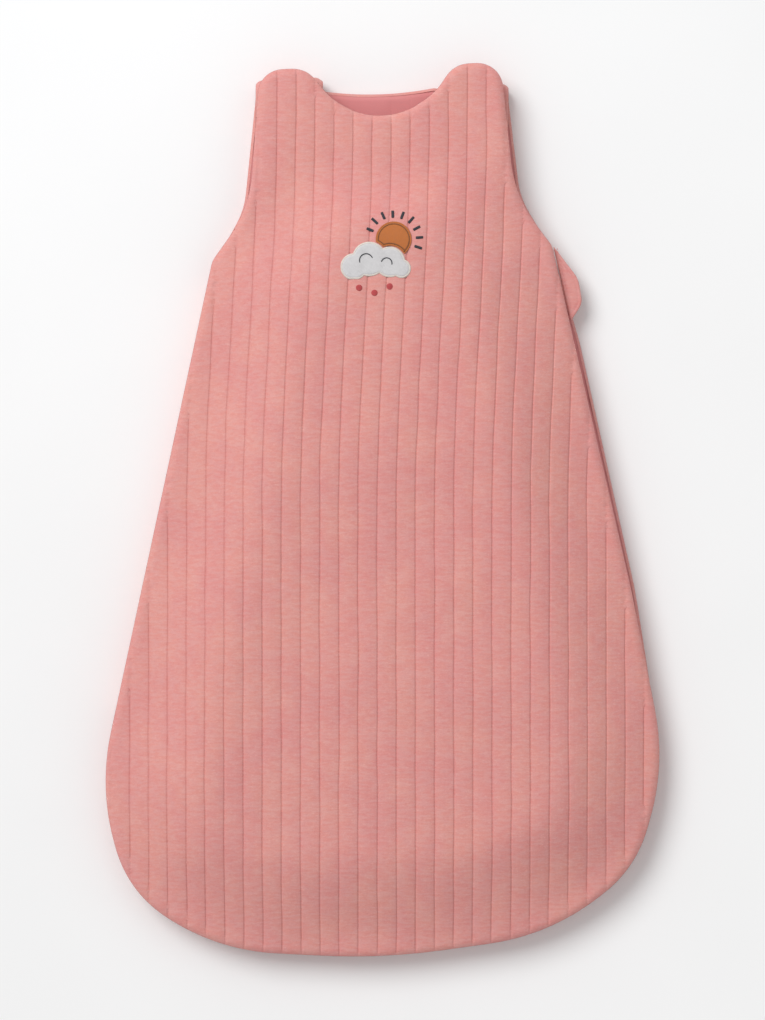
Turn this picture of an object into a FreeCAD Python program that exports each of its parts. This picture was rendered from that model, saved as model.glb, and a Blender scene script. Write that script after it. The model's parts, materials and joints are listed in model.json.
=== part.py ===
import FreeCAD, Part
import math
import os

# Sleeveless quilted baby sleeping bag, lying on its back. +X to the right of the lying bag, +Y towards
# the neck, +Z up through the front. Pattern heights are measured up from the bottom of the hem, pattern
# widths out from the middle line. All sizes in millimetres and degrees.

# How the bag lies: the right side a little higher than the left, the right tab drawn in and down.
lay_shear = 0.045
right_tab_in = 3.5
right_tab_down = 2.0

# Cloth and padding
outer_cloth = 1.0
wadding = 6.0
lining_cloth = 1.0

# Front panel outline
tab_top = 698.5
neck_drop = 39.5
neck_radius = 59.0
tab_foot = 49.0
tab_inner_corner = 60.0
tab_inner_round = 22.0
tab_outer_corner = 96.3
tab_outer_round = 20.0
armhole_width = 103.8
armhole_round = 100.0
armhole_depth = 147.5
underarm_width = 133.3
underarm_rise = 40.0
underarm_round = 10.0
zip_run_width = 195.7
zip_run_height = 277.5
zip_run_round = 600.0
hem_width = 222.5
hem_side_height = 140.5
hem_side_round = 180.0
hem_turn_width = 199.4
hem_turn_height = 59.7
hem_turn_round = 97.0
hem_low_width = 131.6
hem_low_height = 9.9
hem_low_round = 180.0
hem_bottom = -2.4
hem_bottom_round = 500.0

# Back panel outline, where it differs from the front
rim_tuck = 1.5
back_neck_rise = 18.6
back_neck_radius = 300.0
back_neck_end_round = 5.0
back_armhole_extra = 5.0
back_armhole_round = 60.0
back_peek_width = 155.0
back_peek_drop = 73.0
back_peek_round = 200.0
back_run_width = 199.5
back_run_round = 400.0

# Shoulder straps of the back, folded forward under the tabs
strap_inner = 46.6
strap_outer = 99.4
left_strap_drop = 6.7
right_strap_drop = 18.3
strap_end_rise = 10.0
strap_end_round = 14.0
fold_inner_radius = 2.2

# Heights of the front over the back
zip_band = 11.0
strap_lift = 5.0
lift_run = 63.0
dome_height = 25.0
dome_reach = 85.0
surface_step = 20.0

# Fold line of each tab, from the neckline to the armhole edge
tab_fold_neck = 27.0
tab_fold_drop = 75.5
tab_fold_gap = 0.6

# Side seam on the left
seam_gap = 0.4
seam_top = 14.0

# Zip: tapes on edge in the recess under the rim, coils in the middle of the band
zip_recess = 4.0
tape_thickness = 0.6
coil_width = 1.8
coil_depth = 2.0
coil_gap = 1.2
zip_top = 12.0
zip_end = 362.0
stop_length = 3.0
bottom_box_length = 7.0

# Slider and pull
slider_length = 11.0
slider_width = 8.0
slider_plate = 1.0
slider_clearance = 0.3
slider_post = 0.6
slider_post_length = 3.5
slider_flange = 0.7
bail_width = 2.0
bail_length = 6.0
bail_height = 2.6
bail_wire = 1.0
pull_length = 24.0
pull_width = 5.4
pull_thickness = 1.0
pull_eye = 3.2

# Guard flap over the top of the zip
guard_length = 61.0
guard_reach = 13.5
guard_full_reach_at = 36.0
guard_fold_gap = 1.0
guard_cloth = 1.0
guard_seam_width = 3.4
guard_seam_cloth = 0.8

# Press studs, two side by side on each shoulder
stud_rise = 14.0
stud_middle = 72.0
stud_spacing = 20.0
stud_flange_radius = 5.2
stud_flange = 0.6
stud_post_radius = 2.2
stud_post = 1.9
socket_radius = 5.5
socket_height = 2.2
socket_clearance = 0.4
socket_seat_gap = 0.15
socket_roof = 0.5
ring_radius = 4.6
ring_hole_radius = 2.6
ring_thickness = 0.8
ring_depth = 0.6

# Sewn-on sun and cloud on the chest
applique_cloth = 0.6
applique_gap = 0.15
cloud_drop = 119.0
cloud_left = 5.0
cloud_puffs = ((-17.0, 0.0, 9.5), (-5.0, 5.5, 12.5), (11.0, 2.5, 11.0), (20.0, -3.0, 6.5))
cloud_base = 9.5
cloud_edge = 1.6
sun_drop = 99.0
sun_right = 9.0
sun_radius = 14.0
ray_count = 9
ray_width = 1.8
ray_inner = 17.0
ray_outer = 23.0
ray_first_angle = -18.0
ray_sweep = 176.0
drop_radius = 2.4
drop_places = ((-13.0, -16.5), (-1.0, -21.0), (11.0, -16.5))

neck_bottom = tab_top - neck_drop
tab_fold_arm_height = tab_top - tab_fold_drop
underarm_height = tab_top - armhole_depth
armhole_height = underarm_height + underarm_rise
back_neck_bottom = neck_bottom + back_neck_rise
strap_end = tab_fold_arm_height + strap_end_rise
cloud_middle = (-cloud_left, neck_bottom - cloud_drop)
sun_middle = (sun_right, neck_bottom - sun_drop)

panel = outer_cloth + wadding + lining_cloth
rim_under = panel + zip_band
rim_top = rim_under + panel
tab_under = rim_under + strap_lift
tab_over = tab_under + panel
seam_height = panel + zip_band / 2
zip_middle = seam_height
strap_under = panel + 2 * fold_inner_radius
strap_over = strap_under + panel

V = FreeCAD.Vector
UP = V(0, 0, 1)
FAR = 900.0


def lay(x, y, radius=0.0):
    """A corner of the pattern as it lies: (x, y, radius of its rounding)."""
    return x, y + lay_shear * x, radius


def ease(t):
    """0 below 0, 1 above 1, and a smooth step between."""
    t = min(max(t, 0.0), 1.0)
    return t * t * (3 - 2 * t)


def corner_frames(corners):
    """For each corner: its point, the unit directions in and out, and the runs' lengths in and out."""
    points = [V(x, y, 0) for x, y, _ in corners]
    frames = []
    for i, point in enumerate(points):
        before = point - points[i - 1]
        after = points[(i + 1) % len(points)] - point
        frames.append((point, before / before.Length, after / after.Length, before.Length, after.Length))
    return frames


def inset(corners, distance):
    """The same clockwise outline, moved inwards, with its roundings kept parallel."""
    moved = []
    for (point, into, out, _, _), (_, _, radius) in zip(corner_frames(corners), corners):
        side_in, side_out = UP.cross(into) * -1, UP.cross(out) * -1
        shift = (side_in + side_out) * (distance / (1 + side_in.dot(side_out)))
        convex = into.cross(out).z < 0
        grown = radius - distance if convex else radius + distance
        spot = point + shift
        moved.append((spot.x, spot.y, max(grown, 0.0) if radius else 0.0))
    return moved


def outline(corners):
    """A closed wire of straight runs and tangent arcs."""
    frames = corner_frames(corners)
    turns = [math.acos(min(max(into.dot(out), -1.0), 1.0)) for _, into, out, _, _ in frames]
    reaches = [radius * math.tan(turn / 2) for (_, _, radius), turn in zip(corners, turns)]
    count = len(corners)
    edges = []
    ends = []
    for i, (point, into, out, run_in, run_out) in enumerate(frames):
        share = min(1.0, run_in / max(reaches[i] + reaches[i - 1], 1e-9))
        share = min(share, run_out / max(reaches[i] + reaches[(i + 1) % count], 1e-9))
        reach = reaches[i] * share
        radius = corners[i][2] * share
        start, end = point - into * reach, point + out * reach
        ends.append((start, end))
        if reach > 1e-4:
            inward = (out - into).normalize()
            sagitta = radius / math.cos(turns[i] / 2) - radius
            edges.append(Part.Arc(start, point + inward * sagitta, end).toShape())
    for (_, end), (start, _) in zip(ends, ends[1:] + ends[:1]):
        if (start - end).Length > 1e-4:
            edges.append(Part.LineSegment(end, start).toShape())
    return Part.Wire(Part.__sortEdges__(edges))


def prism(corners, low, high):
    """A straight block over an outline, from one height to another."""
    face = Part.Face(outline(corners))
    face.translate(V(0, 0, low))
    return face.extrude(V(0, 0, high - low))


def disc(x, y, radius, low, high):
    """An upright round block over a laid spot."""
    return Part.makeCylinder(radius, high - low, V(x, y, low))


def joined(shapes):
    """Shapes that touch or overlap, as one solid."""
    return shapes[0].multiFuse(shapes[1:]).removeSplitter() if len(shapes) > 1 else shapes[0]


# Outlines, clockwise from the neck

def neck_point(angle):
    """The spot of the front neckline at an angle from its bottom, positive to the right."""
    middle = neck_bottom + neck_radius
    return neck_radius * math.sin(angle), middle - neck_radius * math.cos(angle)


def neck_corner(first, last):
    """The corner whose rounding is the neckline from one angle to another."""
    reach = neck_radius / math.cos((last - first) / 2)
    middle = (first + last) / 2
    y = neck_bottom + neck_radius - reach * math.cos(middle)
    return lay(reach * math.sin(middle), y, neck_radius)


def neck_angle(x):
    return math.asin(min(x / neck_radius, 0.99))


def tab_drift(side):
    """How far a shoulder tab is drawn out of the symmetric pattern."""
    return (-right_tab_in, -right_tab_down) if side > 0 else (0.0, 0.0)


def tab_foot_angle(side):
    return neck_angle(tab_foot + tab_drift(side)[0])


def tab_corners(side):
    """The two top corners of a tab, from the inner one."""
    dx, dy = tab_drift(side)
    inner = lay(side * (tab_inner_corner + dx), tab_top + dy, tab_inner_round)
    outer = lay(side * (tab_outer_corner + dx), tab_top + dy, tab_outer_round)
    return [inner, outer]


def tab_fold(side, gap):
    """The ends of a tab's fold line, neckline end first, moved up by a gap."""
    x, y = neck_point(neck_angle(tab_fold_neck))
    dx, dy = tab_drift(side)
    share = (tab_top + dy - tab_fold_arm_height) / (tab_top + dy - armhole_height)
    arm_x = tab_outer_corner + dx + (armhole_width - tab_outer_corner - dx) * share
    return [lay(side * x, y + gap), lay(side * arm_x, tab_fold_arm_height + gap)]


def arm_corners(side):
    """The armhole's hollow and the underarm corner."""
    hollow = lay(side * armhole_width, armhole_height, armhole_round)
    return [hollow, lay(side * underarm_width, underarm_height, underarm_round)]


def hem_corners(side):
    """The hem from its widest place down to the corner beside the middle."""
    side_corner = lay(side * hem_width, hem_side_height, hem_side_round)
    turn = lay(side * hem_turn_width, hem_turn_height, hem_turn_round)
    return [side_corner, turn, lay(side * hem_low_width, hem_low_height, hem_low_round)]


def lower_front():
    """Right underarm to left underarm round the hem, without the armholes' hollows."""
    bottom = lay(0.0, hem_bottom, hem_bottom_round)
    right = [arm_corners(1)[1], lay(zip_run_width, zip_run_height, zip_run_round)] + hem_corners(1)
    return right + [bottom] + hem_corners(-1)[::-1] + [arm_corners(-1)[1]]


def with_arms(right_top, left_top, neck):
    """A whole front outline from what stands above the armhole on each side."""
    right = right_top + [arm_corners(1)[0]]
    return right + lower_front() + [arm_corners(-1)[0]] + left_top[::-1] + neck


def whole_front():
    """The front with its tabs."""
    tops = []
    for side in (1, -1):
        x, y = neck_point(tab_foot_angle(side))
        tops.append([lay(side * x, y)] + tab_corners(side))
    neck = [neck_corner(-tab_foot_angle(-1), tab_foot_angle(1))]
    return with_arms(tops[0], tops[1], neck)


def front_body():
    """The front below the fold lines of its tabs."""
    fold = neck_angle(tab_fold_neck)
    return with_arms(tab_fold(1, -tab_fold_gap / 2), tab_fold(-1, -tab_fold_gap / 2),
                     [neck_corner(-fold, fold)])


def tab(side):
    """One shoulder tab above its fold line."""
    fold_in, fold_out = tab_fold(side, tab_fold_gap / 2)
    first, last = neck_angle(tab_fold_neck), tab_foot_angle(side)
    x, y = neck_point(last)
    bend = neck_corner(min(side * first, side * last), max(side * first, side * last))
    corners = [fold_in, bend, lay(side * x, y)] + tab_corners(side) + [fold_out]
    return corners if side > 0 else corners[::-1]


def strap_fold(side):
    """Pattern height at which a strap starts to turn over."""
    drop = right_strap_drop if side > 0 else left_strap_drop
    return tab_top - drop - fold_inner_radius - panel


def back_neck_rise_at_strap():
    """How far the back's neckline rises from its middle to the straps."""
    return back_neck_radius - math.sqrt(back_neck_radius ** 2 - strap_inner ** 2)


def strap_root(side):
    """Where the neckline meets a strap, and the start of the strap's turn below it."""
    neck_end = back_neck_bottom + back_neck_rise_at_strap()
    turn = lay(side * strap_inner, strap_fold(side))
    if neck_end - strap_fold(side) < 2 * back_neck_end_round:
        return [turn]
    return [lay(side * strap_inner, neck_end, back_neck_end_round), turn]


def back_panel():
    """The back below the turn of its straps; its rim is tucked under the front except on the right."""
    tucked = inset(whole_front(), rim_tuck)
    last_arm = [i for i, corner in enumerate(whole_front()) if corner == arm_corners(-1)[1]][0]
    hem = tucked[last_arm - 7:last_arm + 1]
    corners = strap_root(1) + [lay(strap_outer, strap_fold(1))]
    corners += [lay(armhole_width + back_armhole_extra, armhole_height, back_armhole_round)]
    corners += [lay(underarm_width, underarm_height - rim_tuck, underarm_round)]
    corners += [lay(back_peek_width, underarm_height - back_peek_drop, back_peek_round)]
    corners += [lay(back_run_width, zip_run_height, back_run_round)]
    corners += hem
    corners += [lay(-armhole_width - back_armhole_extra, armhole_height, back_armhole_round)]
    corners += [lay(-strap_outer, strap_fold(-1))] + strap_root(-1)[::-1]
    corners += [lay(0.0, back_neck_bottom - back_neck_rise_at_strap(), back_neck_radius)]
    return corners


# The domed front surface

def height_at(x, y, depth):
    """Height of the front's top at a laid spot that lies a given depth inside the rim."""
    lift = ease((y - lay_shear * x - tab_fold_arm_height) / lift_run + 1)
    return rim_top + strap_lift * lift + dome_height * ease(depth / dome_reach) * (1 - lift)


def front_surface():
    """A smooth surface through a grid of heights that reaches past the front on every side."""
    face = Part.Face(outline(whole_front()))
    box = face.BoundBox
    columns = int(box.XLength / surface_step) + 4
    rows = int(box.YLength / surface_step) + 4
    grid = []
    for i in range(columns):
        x = box.XMin + (i - 1) * surface_step
        line = []
        for j in range(rows):
            y = box.YMin + (j - 1) * surface_step
            spot = V(x, y, 0)
            inside = face.isInside(spot, 1e-6, True)
            depth = Part.Vertex(spot).distToShape(face.OuterWire)[0] if inside else 0.0
            line.append(V(x, y, height_at(x, y, depth)))
        grid.append(line)
    surface = Part.BSplineSurface()
    surface.interpolate(grid)
    return surface.toShape()


def patch(surface, corners, drop=0.0):
    """The part of a surface over an outline, lowered by a drop."""
    piece = prism(corners, 0.0, 2 * (tab_over + dome_height)).common(surface).Faces[0]
    piece.translate(V(0, 0, -drop))
    return piece


# Panels: an outer cloth turned down round its rim, wadding, and a lining

def front_plies(surface, corners):
    """The three plies of a front piece: outer cloth, wadding and lining."""
    inner = inset(corners, outer_cloth)
    whole = patch(surface, corners).extrude(UP * -panel)
    hollow = patch(surface, inner, outer_cloth).extrude(UP * (-2 * panel))
    padding = patch(surface, inner, outer_cloth).extrude(UP * -wadding)
    lining = patch(surface, inner, outer_cloth + wadding).extrude(UP * -lining_cloth)
    return {"outer": whole.cut(hollow), "wadding": padding, "lining": lining}


def back_plies(corners):
    """The three plies of the back, which lies flat."""
    inner = inset(corners, outer_cloth)
    outer = prism(corners, 0.0, panel).cut(prism(inner, outer_cloth, 2 * panel))
    padding = prism(inner, outer_cloth, outer_cloth + wadding)
    return {"outer": outer, "wadding": padding, "lining": prism(inner, outer_cloth + wadding, panel)}


def ring(corners, near, far, low, high):
    """An upright strip that follows an outline between two insets."""
    return prism(inset(corners, near), low, high).cut(prism(inset(corners, far), low - 1, high + 1))


def edge_frame(top, bottom):
    """Placement on a side run: X down along it, Y outwards on the right side, Z up."""
    start, end = V(top[0], top[1], 0), V(bottom[0], bottom[1], 0)
    along = (end - start).normalize()
    return FreeCAD.Placement(start, FreeCAD.Rotation(along, UP.cross(along), UP, "XYZ"))


def zip_side():
    """The straight right side from the underarm to the end of the slider's run."""
    lower = lower_front()
    return edge_frame(lower[0], lower[1])


def seam_side():
    """The straight left side from the underarm down."""
    lower = lower_front()
    return edge_frame(lower[-1], lower[-2])


def on(frame, along, across, radius=0.0):
    """A laid corner from its place on a side run."""
    spot = frame.multVec(V(along, across, 0))
    return spot.x, spot.y, radius


def seam_strip():
    """The ground that the left side seam covers."""
    side = seam_side()
    edge = 2 * panel
    return [on(side, seam_top, -edge), on(side, zip_end, -edge), on(side, zip_end, edge), on(side, seam_top, edge)]


def zip_ground(first, last):
    """The ground that the zip covers, from a place on the right side round to one on the left."""
    right, left = zip_side(), seam_side()
    middle = lay(0.0, underarm_height / 2)
    return [on(right, first, FAR), on(right, first, -underarm_width / 2), middle,
            on(left, last, underarm_width / 2), on(left, last, -FAR), (-FAR, -FAR, 0.0), (FAR, -FAR, 0.0)]


def seam_lip(corners, low, high):
    """A turned edge of cloth that closes its half of the gap along the left side."""
    strip = prism(seam_strip(), low - 1, high + 1)
    return ring(corners, 0.0, outer_cloth, low, high).common(strip)


# Shoulder straps of the back

def strap_ply(side, start, thickness):
    """One ply of a folded strap: the turn over the shoulder and the flat run under the tab."""
    low = strap_fold(side)
    near, far = side * strap_inner, side * strap_outer
    x = min(near, far)
    axis = V(x, low + lay_shear * x, panel + fold_inner_radius)
    small, large = fold_inner_radius + start, fold_inner_radius + start + thickness
    across, up = V(0, 1, 0), UP
    edges = []
    for radius in (small, large):
        edges.append(Part.Arc(axis - up * radius, axis + across * radius, axis + up * radius).toShape())
    edges.append(Part.LineSegment(axis - up * small, axis - up * large).toShape())
    edges.append(Part.LineSegment(axis + up * small, axis + up * large).toShape())
    turn = Part.Face(Part.Wire(Part.__sortEdges__(edges)))
    turn = turn.extrude(V(abs(far - near), lay_shear * abs(far - near), 0))
    corners = [lay(near, low), lay(far, low), lay(far, strap_end, strap_end_round),
               lay(near, strap_end, strap_end_round)]
    corners = corners if side > 0 else corners[::-1]
    level = axis.z + small
    return joined([turn, prism(corners, level, level + thickness)])


def strap_plies(side):
    """A folded strap: its lining inside the turn, its outer cloth outside."""
    return {"lining": strap_ply(side, 0.0, lining_cloth),
            "wadding": strap_ply(side, lining_cloth, wadding),
            "outer": strap_ply(side, lining_cloth + wadding, outer_cloth)}


# Press studs

def stud_spots(side):
    """The two stud places of a shoulder, in line with the tab's fold."""
    fold_in, fold_out = [V(x, y, 0) for x, y, _ in tab_fold(side, stud_rise)]
    spots = []
    for step in (-1, 1):
        x = side * (stud_middle + step * stud_spacing / 2)
        share = (x - fold_in.x) / (fold_out.x - fold_in.x)
        spots.append((x, fold_in.y + (fold_out.y - fold_in.y) * share))
    return spots


def studs(side):
    """A flanged post on the strap at each place."""
    solids = []
    for x, y in stud_spots(side):
        flange = disc(x, y, stud_flange_radius, strap_over, strap_over + stud_flange)
        post = disc(x, y, stud_post_radius, strap_over, strap_over + stud_flange + stud_post)
        solids.append(flange.fuse(post).removeSplitter())
    return Part.Compound(solids)


def sockets(side):
    """A cup under the tab that snaps over each post."""
    solids = []
    seat = tab_under - socket_seat_gap
    for x, y in stud_spots(side):
        cup = disc(x, y, socket_radius, seat - socket_height, seat)
        hole = disc(x, y, stud_post_radius + socket_clearance, 0.0, seat - socket_roof)
        solids.append(cup.cut(hole))
    return Part.Compound(solids)


def fixing_rings(side, low):
    """The pronged ring inside the padding that each half of a stud is riveted to."""
    solids = []
    for x, y in stud_spots(side):
        solids.append(disc(x, y, ring_radius, low, low + ring_thickness).cut(
            disc(x, y, ring_hole_radius, low - 1, low + ring_thickness + 1)))
    return Part.Compound(solids)


# Zip

def zip_strip(near, far, low, high, first, last):
    """A strip of the zip between two insets of the front's rim."""
    ground = prism(zip_ground(first, last), low - 1, high + 1)
    return ring(whole_front(), near, far, low, high).common(ground)


def tape(low, high):
    return zip_strip(zip_recess, zip_recess + tape_thickness, low, high, zip_top, zip_end)


def coil(low):
    """The round of a coil as a plain bead on its tape's edge."""
    near = zip_recess + tape_thickness / 2 - coil_depth / 2
    first = zip_top + stop_length + slider_clearance
    last = zip_end + bottom_box_length
    return zip_strip(near, near + coil_depth, low, low + coil_width, first, last)


def end_stop(low, high, first, last):
    """A clip round the coils' ends, between two places of the zip."""
    near = zip_recess + tape_thickness / 2 - coil_depth / 2
    ground = prism(zip_ground(first, FAR), low - 1, high + 1)
    beyond = prism(zip_ground(last, FAR), low - 2, high + 2)
    return ring(whole_front(), near, near + coil_depth, low, high).common(ground).cut(beyond)


def bottom_box(low, high):
    """The box that ties the two tapes' ends together, on the back's tape."""
    near = zip_recess + tape_thickness / 2 - coil_depth / 2
    ground = prism(zip_ground(0.0, zip_end), low - 1, high + 1)
    beyond = prism(zip_ground(0.0, zip_end + bottom_box_length), low - 2, high + 2)
    return ring(whole_front(), near, near + coil_depth, low, high).common(ground).cut(beyond)


def slider_levels():
    """How far inside the rim the slider's two plates lie: outer face, gap, gap, inner face."""
    middle = zip_recess + tape_thickness / 2
    gap = coil_depth / 2 + slider_clearance
    return middle - gap - slider_plate, middle - gap, middle + gap, middle + gap + slider_plate


def on_side(along, across_out, across_in, length, low, high):
    """A block on the right side run, between two insets of the rim."""
    block = Part.makeBox(length, across_in - across_out, high - low, V(along, -across_in, low))
    block.Placement = zip_side()
    return block


def slider():
    """Two plates joined by a thin post at the front, flanges at the edges and a bail for the pull."""
    start = zip_top + stop_length / 2
    outer, gap_out, gap_in, inner = slider_levels()
    low, high = zip_middle - slider_width / 2, zip_middle + slider_width / 2
    parts = [on_side(start, outer, gap_out, slider_length, low, high)]
    parts.append(on_side(start, gap_in, inner, slider_length, low, high))
    parts.append(on_side(start, outer, inner, slider_post_length,
                         zip_middle - slider_post / 2, zip_middle + slider_post / 2))
    for level in (low, high - slider_plate):
        parts.append(on_side(start, gap_out, gap_out + slider_flange, slider_length, level, level + slider_plate))
    bail_start = start + (slider_length - bail_length) / 2
    bail_low, bail_high = zip_middle - bail_width / 2, zip_middle + bail_width / 2
    parts.append(on_side(bail_start, outer - bail_height, outer - bail_height + bail_wire, bail_length,
                         bail_low, bail_high))
    for along in (bail_start, bail_start + bail_length - bail_wire):
        parts.append(on_side(along, outer - bail_height, outer, bail_wire, bail_low, bail_high))
    return joined(parts)


def pull_pivot():
    """Where the pull turns in the bail: its place along the side and its inset from the rim."""
    outer = slider_levels()[0]
    start = zip_top + (stop_length + slider_length) / 2
    return start, outer - (bail_height - bail_wire) / 2


def pull():
    """A flat tongue whose cross bar turns under the bail, hanging down along the zip."""
    along, depth = pull_pivot()
    half = pull_thickness / 2
    block = on_side(along - half, depth - half, depth + half, pull_length,
                    zip_middle - pull_width / 2, zip_middle + pull_width / 2)
    slot = bail_width / 2 + slider_clearance
    return block.cut(on_side(along + half, depth - panel, depth + panel, pull_eye,
                             zip_middle - slot, zip_middle + slot))


# Guard flap

def guard_outline():
    """The rounded flap that stands out past the front's rim."""
    side = zip_side()
    near, far = guard_fold_gap, guard_fold_gap + guard_reach
    return [on(side, 0.0, near), on(side, guard_length / 2 - near, far, guard_length / 3),
            on(side, guard_full_reach_at + guard_reach, far - near, guard_reach), on(side, guard_length, near)]


def guard_levels():
    """The flap's under side, the joint of its two cloths, and its top."""
    top = rim_under - slider_clearance
    return top - 2 * guard_cloth, top - guard_cloth, top


def guard_seam():
    """The flap's sewn edge under the rim of the front."""
    side = zip_side()
    high = rim_under - slider_clearance
    strip = [on(side, stop_length, -guard_seam_width), on(side, stop_length, 0.0),
             on(side, guard_length - stop_length, 0.0), on(side, guard_length - stop_length, -guard_seam_width)]
    return prism(strip, high - guard_seam_cloth, high)


# Sewn-on motif

def puffs(growth):
    """The round puffs of the cloud above its flat base, grown all round."""
    discs = []
    for dx, dy, radius in cloud_puffs:
        x, y, _ = lay(cloud_middle[0] + dx, cloud_middle[1] + dy)
        discs.append(disc(x, y, radius + growth, 0.0, FAR))
    x, y, _ = lay(cloud_middle[0], cloud_middle[1] - cloud_base - growth)
    below = Part.makeBox(FAR, FAR, 3 * FAR, V(x - FAR / 2, y - FAR, -FAR))
    return joined(discs).cut(below)


def sun_ray(step):
    """One stitched ray of the sun."""
    angle = ray_first_angle + ray_sweep * step / max(ray_count - 1, 1)
    bar = Part.makeBox(ray_outer - ray_inner, ray_width, FAR, V(ray_inner, -ray_width / 2, 0))
    x, y, _ = lay(*sun_middle)
    bar.Placement = FreeCAD.Placement(V(x, y, 0), FreeCAD.Rotation(UP, angle))
    return bar


def motif(surface):
    """Flat pieces that follow the dome: cloud, its bound edge, sun, rays and drops."""
    x, y, _ = lay(sun_middle[0], sun_middle[1])
    reach = 3 * ray_outer
    ground = [(x - reach, y + reach, 0.0), (x + reach, y + reach, 0.0), (x + reach, y - reach, 0.0),
              (x - reach, y - reach, 0.0)]
    layer = patch(surface, ground, -applique_gap).extrude(UP * applique_cloth)
    cloud, bound = puffs(0.0), puffs(cloud_edge)
    spots = [lay(cloud_middle[0] + dx, cloud_middle[1] + dy) for dx, dy in drop_places]
    drops = [disc(spot[0], spot[1], drop_radius, 0.0, FAR) for spot in spots]
    rays = [sun_ray(step).cut(bound) for step in range(ray_count)]
    return {
        "applique_cloud": layer.common(cloud),
        "applique_cloud_edge": layer.common(bound.cut(cloud)),
        "applique_sun": layer.common(disc(x, y, sun_radius, 0.0, FAR).cut(bound)),
        "applique_sun_rays": Part.Compound([layer.common(ray) for ray in rays if ray.Solids]),
        "applique_drops": Part.Compound([layer.common(drop) for drop in drops]),
    }


# All the pieces

def build():
    """Every piece by its name, before the frame is moved to the middle of the bag's foot."""
    surface = front_surface()
    pieces = {}
    back = back_panel()
    for name, shape in back_plies(back).items():
        pieces["back_" + name] = shape
    pieces["back_side_seam"] = seam_lip(back, panel, seam_height - seam_gap / 2)
    for name, shape in front_plies(surface, front_body()).items():
        pieces["front_" + name] = shape
    pieces["front_side_seam"] = seam_lip(front_body(), seam_height + seam_gap / 2, rim_under - seam_gap / 2)
    ring_low = strap_over - outer_cloth - ring_depth - ring_thickness
    ring_high = tab_under + lining_cloth + ring_depth
    for side, word in ((-1, "left"), (1, "right")):
        plies = strap_plies(side)
        pieces[word + "_strap_stud_rings"] = fixing_rings(side, ring_low)
        plies["wadding"] = plies["wadding"].cut(pieces[word + "_strap_stud_rings"])
        for name, shape in plies.items():
            pieces[word + "_strap_" + name] = shape
        plies = front_plies(surface, tab(side))
        pieces[word + "_tab_socket_rings"] = fixing_rings(side, ring_high)
        plies["wadding"] = plies["wadding"].cut(pieces[word + "_tab_socket_rings"])
        for name, shape in plies.items():
            pieces[word + "_tab_" + name] = shape
        pieces[word + "_strap_studs"] = studs(side)
        pieces[word + "_tab_sockets"] = sockets(side)
    back_coil = zip_middle - coil_gap / 2 - coil_width
    front_coil = zip_middle + coil_gap / 2
    pieces["back_zip_tape"] = tape(panel, back_coil)
    pieces["front_zip_tape"] = tape(front_coil + coil_width, rim_under)
    pieces["back_zip_coil"] = coil(back_coil)
    pieces["front_zip_coil"] = coil(front_coil)
    pieces["back_zip_top_stop"] = end_stop(back_coil, back_coil + coil_width, zip_top, zip_top + stop_length)
    pieces["front_zip_top_stop"] = end_stop(front_coil, front_coil + coil_width, zip_top, zip_top + stop_length)
    pieces["zip_bottom_box"] = bottom_box(back_coil, front_coil - slider_clearance)
    pieces["zip_slider"] = slider()
    pieces["zip_pull"] = pull()
    low, middle, high = guard_levels()
    pieces["guard_lining"] = prism(guard_outline(), low, middle)
    pieces["guard_outer"] = prism(guard_outline(), middle, high)
    pieces["guard_seam"] = guard_seam()
    pieces.update(motif(surface))
    return pieces


def report(shift):
    """Print the places of the joints, in metres, for the record."""
    side, seam = zip_side(), seam_side()
    along, depth = pull_pivot()
    start = zip_top + (stop_length + slider_length) / 2
    run = V(*lower_front()[1][:2], 0) - V(*lower_front()[0][:2], 0)
    places = {
        "seam": (seam.multVec(V(0, -seam_gap, seam_height)), seam.Rotation.multVec(V(1, 0, 0))),
        "guard": (side.multVec(V(0, guard_fold_gap, guard_levels()[2])), side.Rotation.multVec(V(1, 0, 0))),
        "pull": (side.multVec(V(along, -depth, zip_middle)), UP),
        "slider": (side.multVec(V(start, 0, zip_middle)), side.Rotation.multVec(V(1, 0, 0))),
    }
    for name, hand in (("left", -1), ("right", 1)):
        ends = [V(x, y, tab_over) for x, y, _ in tab_fold(hand, 0.0)]
        first, last = sorted(ends, key=lambda end: end.x)
        places[name + "_tab"] = (first, (last - first).normalize())
    for name, (spot, axis) in places.items():
        spot = (spot + shift) * 0.001
        print(name, [round(v, 6) for v in spot], [round(v, 6) for v in axis])
    print("straight run of the zip", round(run.Length, 2))


def main():
    os.makedirs("parts", exist_ok=True)
    pieces = build()
    boxes = [Part.Face(outline(corners)).BoundBox for corners in (whole_front(), back_panel())]
    box = boxes[0].united(boxes[1])
    box = box.united(pieces["guard_outer"].BoundBox)
    shift = V(-box.Center.x, -box.Center.y, 0)
    for name, shape in pieces.items():
        shape.translate(shift)
        shape.exportStep(os.path.join("parts", name + ".step"))
    report(shift)


main()
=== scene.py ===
"""Quilted baby sleeping bag: cloth, padding, zip, press studs and motif, dressed over its construction."""
import json
import math

import bmesh
import bpy
import numpy as np
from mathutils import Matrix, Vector, geometry, kdtree, noise
from mathutils.bvhtree import BVHTree


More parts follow.
